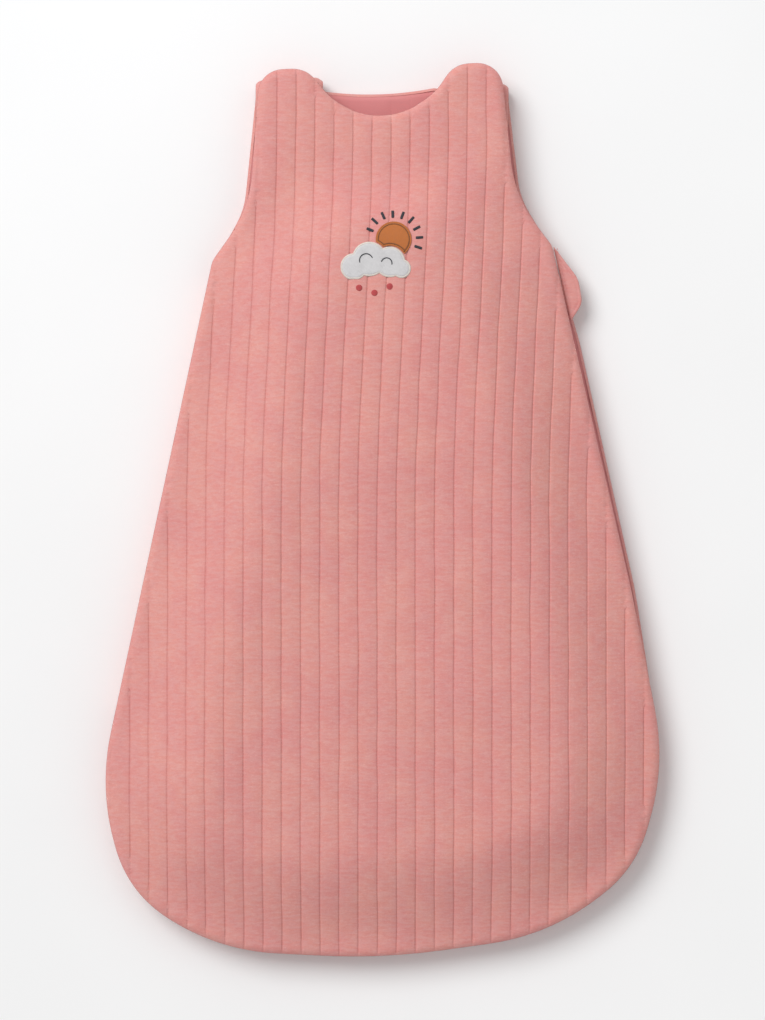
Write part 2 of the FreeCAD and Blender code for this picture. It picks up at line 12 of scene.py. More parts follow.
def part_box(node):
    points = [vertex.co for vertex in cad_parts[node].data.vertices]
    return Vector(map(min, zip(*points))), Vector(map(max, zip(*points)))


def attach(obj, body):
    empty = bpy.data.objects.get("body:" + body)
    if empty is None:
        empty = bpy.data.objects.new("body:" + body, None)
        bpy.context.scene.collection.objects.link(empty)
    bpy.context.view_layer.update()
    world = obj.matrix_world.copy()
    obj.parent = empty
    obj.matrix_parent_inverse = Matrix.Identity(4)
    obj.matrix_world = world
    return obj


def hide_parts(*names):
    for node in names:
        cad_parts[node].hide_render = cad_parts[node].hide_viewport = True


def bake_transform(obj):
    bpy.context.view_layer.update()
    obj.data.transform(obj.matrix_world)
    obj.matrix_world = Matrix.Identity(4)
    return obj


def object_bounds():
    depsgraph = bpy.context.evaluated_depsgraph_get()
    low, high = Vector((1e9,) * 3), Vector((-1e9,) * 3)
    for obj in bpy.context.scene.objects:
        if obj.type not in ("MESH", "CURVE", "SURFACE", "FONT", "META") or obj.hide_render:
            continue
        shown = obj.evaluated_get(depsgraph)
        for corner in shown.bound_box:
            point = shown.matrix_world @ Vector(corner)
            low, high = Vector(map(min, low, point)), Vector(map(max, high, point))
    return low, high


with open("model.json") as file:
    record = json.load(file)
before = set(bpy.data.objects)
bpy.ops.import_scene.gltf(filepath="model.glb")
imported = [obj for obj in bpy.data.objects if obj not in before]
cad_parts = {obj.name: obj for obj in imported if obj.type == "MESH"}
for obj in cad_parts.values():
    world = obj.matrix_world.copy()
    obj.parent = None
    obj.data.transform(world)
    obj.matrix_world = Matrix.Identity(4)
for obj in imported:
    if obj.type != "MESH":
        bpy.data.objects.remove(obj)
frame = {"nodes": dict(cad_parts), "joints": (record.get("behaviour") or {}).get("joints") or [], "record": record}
CAD_BOX = [list(corner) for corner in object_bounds()]

bl_info = {
    "name": "Quilted Sleeping Bag",
    "version": (1, 0, 0),
    "blender": (4, 5, 0),
    "location": "View3D > Sidebar > Sleeping Bag",
    "description": "Dresses a baby sleeping bag with quilted jersey, zip, studs and a sewn motif",
    "category": "Object",
}

MM = 0.001
UP = Vector((0, 0, 1))


# ---------------------------------------------------------------- settings

def length(name, description, millimetres):
    return bpy.props.FloatProperty(name=name, description=description, unit="LENGTH",
                                   default=millimetres * MM)


def tint(name, description, *linear):
    return bpy.props.FloatVectorProperty(name=name, description=description, subtype="COLOR", size=3,
                                         default=linear)


def strength(name, description, default):
    return bpy.props.FloatProperty(name=name, description=description, default=default)


class BagCloth(bpy.types.PropertyGroup):
    """Sizes of the quilted cloth."""
    pitch: length("Quilting pitch", "Distance between quilting lines", 14.92)
    first_line: length("First line", "Place of one quilting line at the hem", -3.9)
    lean: length("Lean", "How far the lines lean to the right at the neck", 11.0)
    lean_reach: length("Lean height", "Height over which the lines lean", 300.0)
    groove: length("Groove depth", "Depth of a quilting line in the padding", 0.9)
    groove_width: length("Groove width", "Half width of the pressed-in cloth", 1.4)
    crown: length("Crown", "Rise of a channel between its lines", 0.7)
    rim_round: length("Rim rounding", "Depth over which the rim rounds off", 6.5)
    row: length("Row spacing", "Spacing of the mesh along the lines", 4.5)


class BagColours(bpy.types.PropertyGroup):
    """Colours of the bag, in linear values."""
    rose: tint("Rose jersey", "Outer jersey", 0.690, 0.305, 0.275)
    rose_pale: tint("Pale fibre", "Lighter fibre in the jersey", 0.790, 0.400, 0.350)
    rose_deep: tint("Deep fibre", "Darker fibre in the jersey", 0.600, 0.235, 0.225)
    lining: tint("Lining", "Lining jersey", 0.640, 0.225, 0.225)
    ochre: tint("Ochre cloth", "Cloth of the sun", 0.500, 0.158, 0.042)
    white: tint("White cloth", "Cloth of the cloud", 0.640, 0.625, 0.630)
    cream: tint("Cream thread", "Bound edge of the cloud", 0.700, 0.640, 0.580)
    charcoal: tint("Charcoal thread", "Rays of the sun", 0.035, 0.036, 0.045)
    brown: tint("Brown thread", "Outline of the sun", 0.230, 0.085, 0.030)
    berry: tint("Berry thread", "Drops", 0.480, 0.070, 0.075)
    zinc: tint("Slider enamel", "Enamelled slider", 0.560, 0.240, 0.220)
    nickel: tint("Nickel", "Press studs", 0.720, 0.700, 0.660)


class BagStage(bpy.types.PropertyGroup):
    """Camera, floor and lamps."""
    view_height: length("Framed height", "Height of the picture on the floor", 805.0)
    distance: length("Camera height", "Camera above the bag", 4000.0)
    key: strength("Key light", "Strength of the soft key lamp", 1.66)
    sky: strength("Sky light", "Strength of the even light", 0.56)
    fill: strength("Fill light", "Strength of the soft lamp over the shoulders", 1.1)


# ---------------------------------------------------------------- plan shapes

def node_mesh(name):
    """A welded copy of a node's mesh, for reading."""
    mesh = bmesh.new()
    mesh.from_mesh(bpy.data.objects[name].data)
    bmesh.ops.remove_doubles(mesh, verts=mesh.verts, dist=1e-6)
    mesh.normal_update()
    return mesh


def spots_of(name):
    """A node's vertices."""
    mesh = node_mesh(name)
    spots = np.array([tuple(v.co) for v in mesh.verts])
    mesh.free()
    return spots


def rim_loop(name, up):
    """The outer edge of a panel's top (up) or under side in plan, clockwise seen from above."""
    mesh = node_mesh(name)
    links = {}
    for edge in mesh.edges:
        if len(edge.link_faces) != 2:
            continue
        slopes = [face.normal.z * (1 if up else -1) for face in edge.link_faces]
        if max(slopes) > 0.4 and abs(min(slopes, key=abs)) < 0.3:
            a, b = edge.verts
            links.setdefault(a.index, []).append(b.index)
            links.setdefault(b.index, []).append(a.index)
    mesh.verts.ensure_lookup_table()
    places = [vert.co.copy() for vert in mesh.verts]
    mesh.free()
    loops, used = [], set()
    for first in links:
        if first in used:
            continue
        loop, here = [], first
        while here is not None:
            used.add(here)
            loop.append(here)
            here = next((n for n in links[here] if n not in used), None)
        loops.append(np.array([places[i][:2] for i in loop]))
    best = max(loops, key=lambda loop: np.ptp(loop[:, 0]) * np.ptp(loop[:, 1]))
    return best if signed_area(best) < 0 else best[::-1]


def signed_area(loop):
    x, y = loop[:, 0], loop[:, 1]
    return 0.5 * float(np.sum(x * np.roll(y, -1) - y * np.roll(x, -1)))


def with_flap(loop, flap, reach=1.3 * MM):
    """A panel's outline carried round a flap that touches it along a fold."""
    gaps = np.array([distance_to_loop(point, flap) for point in loop])
    near = gaps < reach
    start = next(i for i in range(len(loop)) if near[i] and not near[i - 1])
    run = []
    while near[(start + len(run)) % len(loop)]:
        run.append((start + len(run)) % len(loop))
    first, last = loop[run[0]], loop[run[-1]]
    i = int(np.argmin(np.linalg.norm(flap - first, axis=1)))
    j = int(np.argmin(np.linalg.norm(flap - last, axis=1)))
    count = len(flap)
    ahead = [flap[(i + k) % count] for k in range((j - i) % count + 1)]
    behind = [flap[(i - k) % count] for k in range((i - j) % count + 1)]
    path = max((ahead, behind), key=lambda p: np.sum(np.linalg.norm(np.diff(np.array(p), axis=0), axis=1)))
    rest = [loop[(run[-1] + 1 + k) % len(loop)] for k in range(len(loop) - len(run))]
    return np.array(list(path) + rest)


def distance_to_loop(point, loop):
    ends = np.roll(loop, -1, axis=0)
    runs = ends - loop
    lengths = np.maximum(np.sum(runs * runs, axis=1), 1e-18)
    t = np.clip(np.sum((point - loop) * runs, axis=1) / lengths, 0, 1)
    return float(np.min(np.linalg.norm(point - loop - runs * t[:, None], axis=1)))


def evenly(loop, step):
    """A closed outline with points at an even spacing."""
    closed = np.vstack([loop, loop[:1]])
    lengths = np.concatenate([[0.0], np.cumsum(np.linalg.norm(np.diff(closed, axis=0), axis=1))])
    count = max(int(round(lengths[-1] / step)), 8)
    at = np.linspace(0, lengths[-1], count, endpoint=False)
    return np.stack([np.interp(at, lengths, closed[:, k]) for k in (0, 1)], axis=1)


def softened(loop, passes):
    """The outline with its corners eased."""
    for _ in range(passes):
        loop = 0.5 * loop + 0.25 * (np.roll(loop, 1, axis=0) + np.roll(loop, -1, axis=0))
    return loop


def inward_normals(loop):
    """Unit normals of a clockwise outline, pointing inside."""
    along = np.roll(loop, -1, axis=0) - np.roll(loop, 1, axis=0)
    along /= np.maximum(np.linalg.norm(along, axis=1), 1e-9)[:, None]
    return np.stack([along[:, 1], -along[:, 0]], axis=1)


RING_TO_ROWS = 1.2 * MM


class Rim:
    """A panel's outline with quick depths; stretches for which open_at is true carry no rim."""

    def __init__(self, loop, step=1.8 * MM, open_at=None):
        self.loop = softened(evenly(loop, step), 2)
        self.inward = inward_normals(self.loop)
        fine = evenly(self.loop, 0.45 * MM)
        self.fine_inward = inward_normals(fine)
        self.fine = fine
        self.tree = self.tree_of(range(len(fine)))
        kept = [i for i, p in enumerate(fine) if not (open_at and open_at(p))]
        self.rim_tree = self.tree_of(kept)

    def tree_of(self, kept):
        tree = kdtree.KDTree(len(kept))
        for i in kept:
            tree.insert((self.fine[i][0], self.fine[i][1], 0), i)
        tree.balance()
        return tree

    def inside_depth(self, point):
        """Distance inside the outline, negative outside."""
        _, i, gap = self.tree.find((point[0], point[1], 0))
        side = np.dot(np.array(point[:2]) - self.fine[i], self.fine_inward[i])
        return gap if side >= 0 else -gap

    def clear(self, point, depth):
        """Whether a spot laid off at a depth has kept clear of other stretches of the rim."""
        return depth == 0 or self.inside_depth(point) > 0.85 * depth

    def rim_depth(self, point):
        """Distance from the closed part of the rim."""
        return self.rim_tree.find((point[0], point[1], 0))[2]


def front_rim():
    loop = rim_loop("front_outer", True)
    for name in ("left_tab_outer", "right_tab_outer"):
        loop = with_flap(loop, rim_loop(name, True))
    return Rim(loop)


def ease(t):
    t = np.clip(t, 0.0, 1.0)
    return t * t * (3 - 2 * t)


def quilt_shift(y, cloth):
    """Sideways lean of the quilting lines at a height."""
    return cloth.lean * ease(np.asarray(y) / cloth.lean_reach)


def wander(line, y):
    """How far a quilting line strays from its place at a height."""
    return noise.noise(Vector((line * 3.7, y * 28, 0.5))) * 0.55 * MM


def line_distance(x, y, cloth):
    """Distance from the nearest quilting line."""
    turns = (x - float(quilt_shift(y, cloth)) - cloth.first_line) / cloth.pitch
    line = round(turns)
    return abs((turns - line) * cloth.pitch - wander(line, y))


def quilt_relief(x, y, cloth):
    """Height of the quilted surface against a smooth one: crowned channels and pressed-in lines."""
    gap = line_distance(x, y, cloth)
    crown = cloth.crown * math.sin(math.pi * min(gap / cloth.pitch, 0.5))
    pressed = cloth.groove * (1 - min(gap / cloth.groove_width, 1.0)) ** 2
    return crown - pressed


def soft_waves(x, y, seed):
    """Broad, gentle unevenness of laid padding, and small puckers."""
    broad = noise.noise(Vector((x * 13 + y * 5 + seed, y * 10 - x * 4, seed))) * 2.5 * MM
    return broad + noise.noise(Vector((x * 34, y * 26 + seed, seed))) * 0.45 * MM


def pucker(x, y, cloth, seed):
    """Short ripples that run off the quilting lines."""
    near = math.exp(-(line_distance(x, y, cloth) / (3.2 * MM)) ** 2)
    return noise.noise(Vector((x * 60 + seed, y * 170, seed))) * (0.16 + 0.42 * near) * MM


def ring_points(rim, depth, cloth):
    """Points along a ring inside a rim, close together where a quilting line crosses it."""
    spots = rim.loop + rim.inward * depth
    for here, after in zip(spots, np.roll(spots, -1, axis=0)):
        yield here
        steps = int(np.linalg.norm(after - here) / (0.4 * MM)) if depth else 0
        for k in range(1, steps):
            point = here + (after - here) * k / steps
            if line_distance(*point, cloth) < 1.1 * cloth.groove_width:
                yield point


def plan_points(rim, rings, cloth):
    """Points of a quilted sheet: rings inside the rim, then rows across the quilting lines."""
    points = [point for depth in rings for point in ring_points(rim, depth, cloth) if rim.clear(point, depth)]
    low, high = rim.loop.min(axis=0), rim.loop.max(axis=0)
    half = cloth.pitch / 2
    steps = [0.0, 0.22 * cloth.groove_width, 0.55 * cloth.groove_width, cloth.groove_width,
             0.55 * half, half]
    steps += [cloth.pitch - s for s in reversed(steps[1:-1])]
    first = int((low[0] - cloth.lean - cloth.first_line) / cloth.pitch) - 1
    last = int((high[0] - cloth.first_line) / cloth.pitch) + 1
    rows = np.arange(low[1] + cloth.row / 2, high[1], cloth.row)
    limit = rings[-1] + RING_TO_ROWS
    for line in range(first, last + 1):
        for step in steps:
            x0 = cloth.first_line + line * cloth.pitch + step
            nearest = line if step < half else line + 1
            for y in rows:
                x = x0 + float(quilt_shift(y, cloth)) + wander(nearest, y)
                if rim.inside_depth((x, y)) > limit:
                    points.append(np.array((x, y)))
    return np.array(points)


def filled(rim, rings, step, limit):
    """Points of a small cloth: rings inside the rim, then a square net."""
    points = [spot + inward * depth for depth in rings for spot, inward in zip(rim.loop, rim.inward)
              if rim.clear(spot + inward * depth, depth)]
    low, high = rim.loop.min(axis=0), rim.loop.max(axis=0)
    net = [(x, y) for x in np.arange(low[0], high[0], step) for y in np.arange(low[1], high[1], step)]
    return points + [np.array(spot) for spot in net if rim.inside_depth(spot) > limit]


def triangulated(points, outline_count):
    """Triangles through all the points that fill the outline made by the first ones."""
    outline = list(range(outline_count))[::-1]
    _, _, faces, sources, _, _ = geometry.delaunay_2d_cdt([Vector(p) for p in points], [], [outline], 1, 1e-7)
    return [[sources[i][0] for i in face] for face in faces if all(sources[i] for i in face)]


def placed(name, data):
    """A new object in the scene."""
    item = bpy.data.objects.new(name, data)
    bpy.context.scene.collection.objects.link(item)
    return item


def object_from(name, verts, faces, material):
    """A smooth-shaded piece with one material."""
    mesh = bpy.data.meshes.new(name)
    mesh.from_pydata([tuple(v) for v in verts], [], [list(f) for f in faces])
    mesh.validate()
    mesh.shade_smooth()
    piece = placed(name, mesh)
    mesh.materials.append(material)
    return piece


def upward(mesh_faces, verts, up):
    """Triangles wound so that they face up, or down."""
    out = []
    for face in mesh_faces:
        a, b, c = (verts[i] for i in face[:3])
        area = (b[0] - a[0]) * (c[1] - a[1]) - (c[0] - a[0]) * (b[1] - a[1])
        out.append(list(face) if (area > 0) == up else list(face)[::-1])
    return out


def roundness(depth, reach):
    """0 at the rim to 1 at a depth, as a quarter of an ellipse."""
    t = min(max(depth / reach, 0.0), 1.0)
    return math.sqrt(1 - (1 - t) ** 2)


class Field:
    """Heights of the construction's own surface under or over a spot."""

    def __init__(self, names, up):
        mesh = bmesh.new()
        for name in names:
            mesh.from_mesh(bpy.data.objects[name].data)
        self.tree = BVHTree.FromBMesh(mesh)
        mesh.free()
        self.up = up

    def height(self, x, y):
        start = Vector((x, y, 1.0 if self.up else -1.0))
        toward = Vector((0, 0, -1.0 if self.up else 1.0))
        hit = self.tree.ray_cast(start, toward)
        if hit[0] is None:
            hit = self.tree.find_nearest(Vector((x, y, 0.04 if self.up else 0.0)))
        return hit[0].z


# ---------------------------------------------------------------- padded panels

HALF = 4.0 * MM  # half the thickness of a padded panel
RINGS = [0.0, 0.25 * MM, 0.9 * MM, 1.9 * MM, 3.2 * MM, 4.7 * MM, 6.3 * MM]
WRAP = [0.25 * MM, 0.8 * MM, 1.5 * MM, 2.2 * MM]
HEM_START = 1.6 * MM
LINING_RINGS = [0.0, 1.2 * MM, 2.6 * MM, 4.4 * MM]
TAB_SPLIT = -9 * MM  # a tab's cloth is cut from the body's this far under its fold
SHARED = {}


class Shell:
    """The cloth round a padded panel: its face, its edge turned under, and the lining's plan."""

    def __init__(self, rim, cloth, seed, face, sign, place=None):
        self.rim, self.cloth, self.seed = rim, cloth, seed
        self.face, self.sign, self.place = face, sign, place
        points = plan_points(rim, RINGS, cloth)
        count = len(rim.loop)
        triangles = triangulated(points, count)
        verts = [self.outer(p[0], p[1]) for p in points]
        faces = upward(triangles, points, sign > 0)
        last = list(range(count))
        for depth in WRAP:
            first = len(verts)
            for spot, inward in zip(rim.loop, rim.inward):
                verts.append(self.turned(*(spot + inward * depth)))
            ring = list(range(first, first + count))
            for i in range(count):
                j = (i + 1) % count
                a, b, c, d = last[i], last[j], ring[j], ring[i]
                faces += [[a, b, c], [a, c, d]] if sign < 0 else [[a, c, b], [a, d, c]]
            last = ring
        self.verts, self.faces = np.array(verts), np.array(faces)

    def rounding(self, x, y):
        return roundness(self.rim.rim_depth((x, y)), self.cloth.rim_round)

    def relief(self, x, y):
        depth = self.rim.rim_depth((x, y))
        fade = float(ease(depth / (5 * MM)))
        wave = float(ease(depth / (25 * MM))) * soft_waves(x, y, self.seed)
        quilting = (0.7 + 0.3 * fade) * quilt_relief(x, y, self.cloth)
        return quilting + wave + pucker(x, y, self.cloth, self.seed)

    def put(self, x, y, drop, rise):
        """A spot a drop under the panel's face, moved out by a rise."""
        if self.place:
            x, y, z = self.place(x, y, HALF - drop + rise)
            return x, y, max(z, 0.0)
        return x, y, self.face(x, y) + self.sign * (rise - drop)

    def outer(self, x, y):
        round_off = self.rounding(x, y)
        relief = self.relief(x, y) * (0.4 + 0.6 * round_off)
        lies = self.sign < 0 and not self.place  # the back is pressed flat by what it rests on
        return self.put(x, y, HALF * (1 - round_off), min(relief, 0.0) if lies else relief)

    def turned(self, x, y):
        """The edge turned under."""
        return self.put(x, y, HALF * (1 + self.rounding(x, y)), 0.0)

    def under(self, x, y):
        """The lining: tucked inside the turned edge, with shallow quilting."""
        round_off = self.rounding(x, y)
        tuck = 0.45 * MM * (1 - float(ease((self.rim.rim_depth((x, y)) - HEM_START) / (3 * MM))))
        relief = 0.15 * quilt_relief(x, y, self.cloth) + 0.7 * pucker(x, y, self.cloth, self.seed + 3)
        relief += 0.6 * soft_waves(2 * x, 2 * y, self.seed + 5)
        return self.put(x, y, HALF * (1 + round_off) - tuck, -min(relief, 0.2 * MM) * round_off)

    def lining(self):
        """Verts and faces of the lining sheet."""
        inner = Rim(evenly(self.rim.loop + self.rim.inward * HEM_START, 3.0 * MM))
        points = plan_points(inner, LINING_RINGS, self.cloth)
        triangles = triangulated(points, len(inner.loop))
        verts = np.array([self.under(p[0], p[1]) for p in points])
        return verts, np.array(upward(triangles, points, self.sign < 0))


def vertex_normals(verts, faces):
    normals = np.zeros_like(verts)
    flat = np.cross(verts[faces[:, 1]] - verts[faces[:, 0]], verts[faces[:, 2]] - verts[faces[:, 0]])
    for corner in range(3):
        np.add.at(normals, faces[:, corner], flat)
    return normals / np.maximum(np.linalg.norm(normals, axis=1), 1e-12)[:, None]


def part_of(name, verts, faces, material, slot, wanted=slice(None)):
    """The wanted triangles of a shell as a piece that shades as the whole shell does."""
    normals, kept = vertex_normals(verts, faces), faces[wanted]
    used, index = np.unique(kept, return_inverse=True)
    piece = object_from(name, verts[used], index.reshape(kept.shape).tolist(), material)
    piece.data.normals_split_custom_set_from_vertices([tuple(n) for n in normals[used]])
    return piece


def joint(name):
    return next(j for j in frame["joints"] if j["name"] == name)


class Fold:
    """The fold of a shoulder tab."""

    def __init__(self, side):
        row = joint(side + "_tab_fold")
        self.place = Vector(row["pos_m"])
        across = UP.cross(Vector(row["axis"]))
        self.up = across if across.y > 0 else -across
        self.left = side == "left"

    def above(self, points, margin):
        """Which spots lie above the fold by a margin, on its own side of the bag."""
        rise = (points[:, 0] - self.place.x) * self.up.x + (points[:, 1] - self.place.y) * self.up.y
        own = points[:, 0] < 0 if self.left else points[:, 0] > 0
        return own & (rise > margin)

    def ends(self, reach):
        return self.place - self.up * reach, self.place + self.up * reach


def split_front(verts, faces, base, tab_name, material, slot, stands_for):
    """A front shell divided into the body and two tabs, each tab cut off a little under its fold."""
    middles = verts[faces].mean(axis=1)
    rest = np.ones(len(faces), bool)
    pieces = []
    for side in ("left", "right"):
        fold = Fold(side)
        own = fold.above(middles, TAB_SPLIT)
        rest &= ~own
        tab = part_of(side + tab_name, verts, faces, material, slot, own)
        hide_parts(*[side + "_tab_" + word for word in stands_for])
        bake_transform(tab)
        pieces.append(tab)
    body = part_of(base, verts, faces, material, slot, rest)
    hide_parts(*["front_" + word for word in stands_for])
    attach(body, "front_panel")
    return [body] + pieces


def cloth_and_lining(shell, base):
    """A shell's outer cloth and its lining, as two pieces of the back."""
    piece = part_of(base + "_cloth", shell.verts, shell.faces, finish("rose_jersey"), "outer_jersey")
    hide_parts(base + "_outer", base + "_wadding")
    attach(piece, "back_panel")
    piece = part_of(base + "_lining_cloth", *shell.lining(), finish("lining_jersey"), "lining_jersey")
    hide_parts(base + "_lining")
    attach(piece, "back_panel")


# ---------------------------------------------------------------- strips, beads and small parts

def grid(rows, width, base=0, tube=False, looped=False):
    """Quads between rows of points; a tube joins each row's ends, and a loop its last row to its first."""
    faces = []
    for i in range(rows if looped else rows - 1):
        here, after = base + i * width, base + (i + 1) % rows * width
        for k in range(width if tube else width - 1):
            j = (k + 1) % width
            faces.append([here + k, here + j, after + j, after + k])
    return faces


def rim_run(rim, first, last):
    """The stretch of a rim, clockwise, from the spot nearest one place to the spot nearest another."""
    count = len(rim.fine)
    start = int(np.argmin(np.linalg.norm(rim.fine - first, axis=1)))
    end = int(np.argmin(np.linalg.norm(rim.fine - last, axis=1)))
    order = [(start + k) % count for k in range((end - start) % count + 1)]
    return rim.fine[order], softened_normals(rim.fine_inward[order])


def softened_normals(normals):
    """Normals along an open run, eased so that strips don't kink."""
    for _ in range(6):
        inner = 0.5 * normals[1:-1] + 0.25 * (normals[:-2] + normals[2:])
        normals = np.vstack([normals[:1], inner, normals[-1:]])
    return normals / np.linalg.norm(normals, axis=1)[:, None]


def spaced(points, normals, step):
    """An open run and its normals at an even spacing."""
    lengths = np.concatenate([[0.0], np.cumsum(np.linalg.norm(np.diff(points, axis=0), axis=1))])
    count = max(int(round(lengths[-1] / step)), 2)
    at = (np.arange(count) + 0.5) * lengths[-1] / count
    places = np.stack([np.interp(at, lengths, points[:, k]) for k in (0, 1)], axis=1)
    turned = np.stack([np.interp(at, lengths, normals[:, k]) for k in (0, 1)], axis=1)
    return places, turned / np.linalg.norm(turned, axis=1)[:, None]


def strip(name, places, inward, profile, material):
    """A swept band: profile(i) gives (depth, height) pairs at the i-th place."""
    verts = []
    for i, (spot, normal) in enumerate(zip(places, inward)):
        verts += [(*(spot + normal * depth), height) for depth, height in profile(i)]
    faces = grid(len(places), len(verts) // len(places))
    return facing_out(object_from(name, verts, faces, finish(material)))


def facing_out(piece):
    """Makes a piece's faces wind consistently, outwards."""
    mesh = bmesh.new()
    mesh.from_mesh(piece.data)
    bmesh.ops.recalc_face_normals(mesh, faces=mesh.faces)
    mesh.to_mesh(piece.data)
    mesh.free()
    return piece


def eased_copy(name, source, material, body, bevel):
    """A hard part's shape with its edges eased."""
    mesh = node_mesh(source)
    bmesh.ops.dissolve_limit(mesh, angle_limit=0.01, verts=mesh.verts, edges=mesh.edges)
    data = bpy.data.meshes.new(name)
    mesh.to_mesh(data)
    mesh.free()
    data.materials.clear()
    data.materials.append(finish(material))
    piece = placed(name, data)
    ease_edges = piece.modifiers.new("eased", "BEVEL")
    ease_edges.width, ease_edges.segments, ease_edges.limit_method = bevel, 2, "ANGLE"
    ease_edges.angle_limit = math.radians(35)
    data.shade_smooth()
    piece.modifiers.new("even", "WEIGHTED_NORMAL").keep_sharp = True
    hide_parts(source)
    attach(piece, body)
    return piece


def bead_row(name, places, inward, depth, low, high, along, across, material):
    """A row of small rounded teeth on edge along a run."""
    ring = [(math.cos(math.tau * k / 6), math.sin(math.tau * k / 6)) for k in range(6)]
    middle, half = (low + high) / 2, (high - low) / 2
    verts, faces = [], []
    for spot, normal in zip(places, inward):
        side = np.array((normal[1], -normal[0]))
        base = len(verts)
        for reach, size in ((-1.0, 0.55), (-0.55, 1.0), (0.55, 1.0), (1.0, 0.55)):
            x, y = spot + normal * (depth + reach * across / 2)
            for c, s in ring:
                verts.append((x + side[0] * c * along / 2 * size, y + side[1] * c * along / 2 * size,
                              middle + s * half * size))
        faces += grid(4, 6, base, tube=True)
        faces.append([base + k for k in range(6)][::-1])
        faces.append([base + 18 + k for k in range(6)])
    return facing_out(object_from(name, verts, faces, finish(material)))


# ---------------------------------------------------------------- materials

EFFECT_OUTPUTS = ("Color", "Roughness", "Height")


def group(name, **inputs):
    """An empty node group: colours and numbers in, and a colour, a roughness and a height out."""
    tree = bpy.data.node_groups.new(name, "ShaderNodeTree")
    for label, value in inputs.items():
        kind = "NodeSocketFloat" if isinstance(value, float) else "NodeSocketColor"
        tree.interface.new_socket(label, in_out="INPUT", socket_type=kind).default_value = value
    for label in EFFECT_OUTPUTS:
        kind = "NodeSocketColor" if label == "Color" else "NodeSocketFloat"
        tree.interface.new_socket(label, in_out="OUTPUT", socket_type=kind)
    return tree, tree.nodes.new("NodeGroupInput").outputs


def put_out(tree, *sources):
    """Links a group's colour, roughness and height to its output."""
    out = tree.nodes.new("NodeGroupOutput")
    for label, source in zip(EFFECT_OUTPUTS, sources):
        tree.links.new(source, out.inputs[label])


def feed(tree, socket, source):
    """Links a socket to another, or gives it a value."""
    if isinstance(source, bpy.types.NodeSocket):
        tree.links.new(source, socket)
    else:
        socket.default_value = source


def node(tree, kind, links=None, **settings):
    """A node with its settings and the sockets that feed it."""
    made = tree.nodes.new(kind)
    for key, value in settings.items():
        setattr(made, key, value)
    for socket, source in (links or {}).items():
        feed(tree, made.inputs[socket], source)
    return made


def maths(tree, operation, a, b=0.0, clamp=False):
    return node(tree, "ShaderNodeMath", {0: a, 1: b}, operation=operation, use_clamp=clamp).outputs[0]


def times(tree, a, b, clamp=False):
    return maths(tree, "MULTIPLY", a, b, clamp)


def plus(tree, a, b):
    return maths(tree, "ADD", a, b)


def stretched(tree, scale=(1, 1, 1), turn=0.0):
    """The piece's own coordinates, scaled and turned about Z."""
    here = node(tree, "ShaderNodeTexCoord").outputs["Object"]
    turned = node(tree, "ShaderNodeMapping", {"Vector": here, "Rotation": (0, 0, turn)}).outputs[0]
    return node(tree, "ShaderNodeMapping", {"Vector": turned, "Scale": scale}).outputs[0]


def mixed(tree, share, a, b):
    """A colour between two."""
    return node(tree, "ShaderNodeMix", {0: share, 6: a, 7: b}, data_type="RGBA", blend_type="MIX").outputs[2]


def remap(tree, value, low, high, new_low=0.0, new_high=1.0):
    return node(tree, "ShaderNodeMapRange", {0: value, 1: low, 2: high, 3: new_low, 4: new_high},
                interpolation_type="SMOOTHSTEP").outputs[0]


def uneven(tree, scale, detail, rough, turn=0.0):
    """Noise in the piece's own coordinates."""
    return node(tree, "ShaderNodeTexNoise", {"Vector": stretched(tree, scale, turn), "Scale": 1.0,
                                             "Detail": detail, "Roughness": rough}).outputs[0]


def bands(tree, scale, distortion, direction):
    """Soft ridges of stitches in one direction."""
    return node(tree, "ShaderNodeTexWave",
                {"Vector": stretched(tree), "Scale": scale, "Distortion": distortion, "Detail": 1.0,
                 "Detail Scale": 2.0}, wave_type="BANDS", bands_direction=direction,
                wave_profile="SIN").outputs[0]


def melange_knit():
    """Knit of mixed fibres: short streaks across the wales, slow drifts of hue, and the stitches' relief."""
    tree, given = group("melange_knit", Color=(0.7, 0.3, 0.28, 1), Pale=(0.8, 0.4, 0.35, 1),
                        Deep=(0.6, 0.23, 0.22, 1), Streaks=1.0, Stitch=1.0)
    streak = uneven(tree, (300, 900, 500), 3.0, 0.7)
    fine = uneven(tree, (1000, 1500, 1000), 2.0, 0.6)
    drift = uneven(tree, (26, 22, 26), 3.0, 0.6)
    slub = uneven(tree, (120, 500, 240), 2.0, 0.5)
    both = plus(tree, times(tree, streak, 0.5), times(tree, fine, 0.5))
    pale = times(tree, times(tree, remap(tree, both, 0.50, 0.72), 0.8), given["Streaks"], True)
    deep = times(tree, times(tree, remap(tree, both, 0.50, 0.30), 0.6), given["Streaks"], True)
    body = mixed(tree, deep, mixed(tree, pale, given["Color"], given["Pale"]), given["Deep"])
    warm = node(tree, "ShaderNodeHueSaturation",
                {"Color": body, "Hue": remap(tree, drift, 0.32, 0.68, 0.4945, 0.5015),
                 "Saturation": remap(tree, slub, 0.3, 0.7, 0.95, 1.06),
                 "Value": remap(tree, drift, 0.3, 0.7, 0.98, 1.02)}).outputs[0]
    wales, courses = bands(tree, 310.0, 1.2, "X"), bands(tree, 400.0, 1.6, "Y")
    knit = times(tree, plus(tree, wales, courses), given["Stitch"])
    height = plus(tree, times(tree, knit, 0.35), times(tree, both, 0.6))
    put_out(tree, warm, remap(tree, both, 0.2, 0.8, 0.78, 0.92), height)


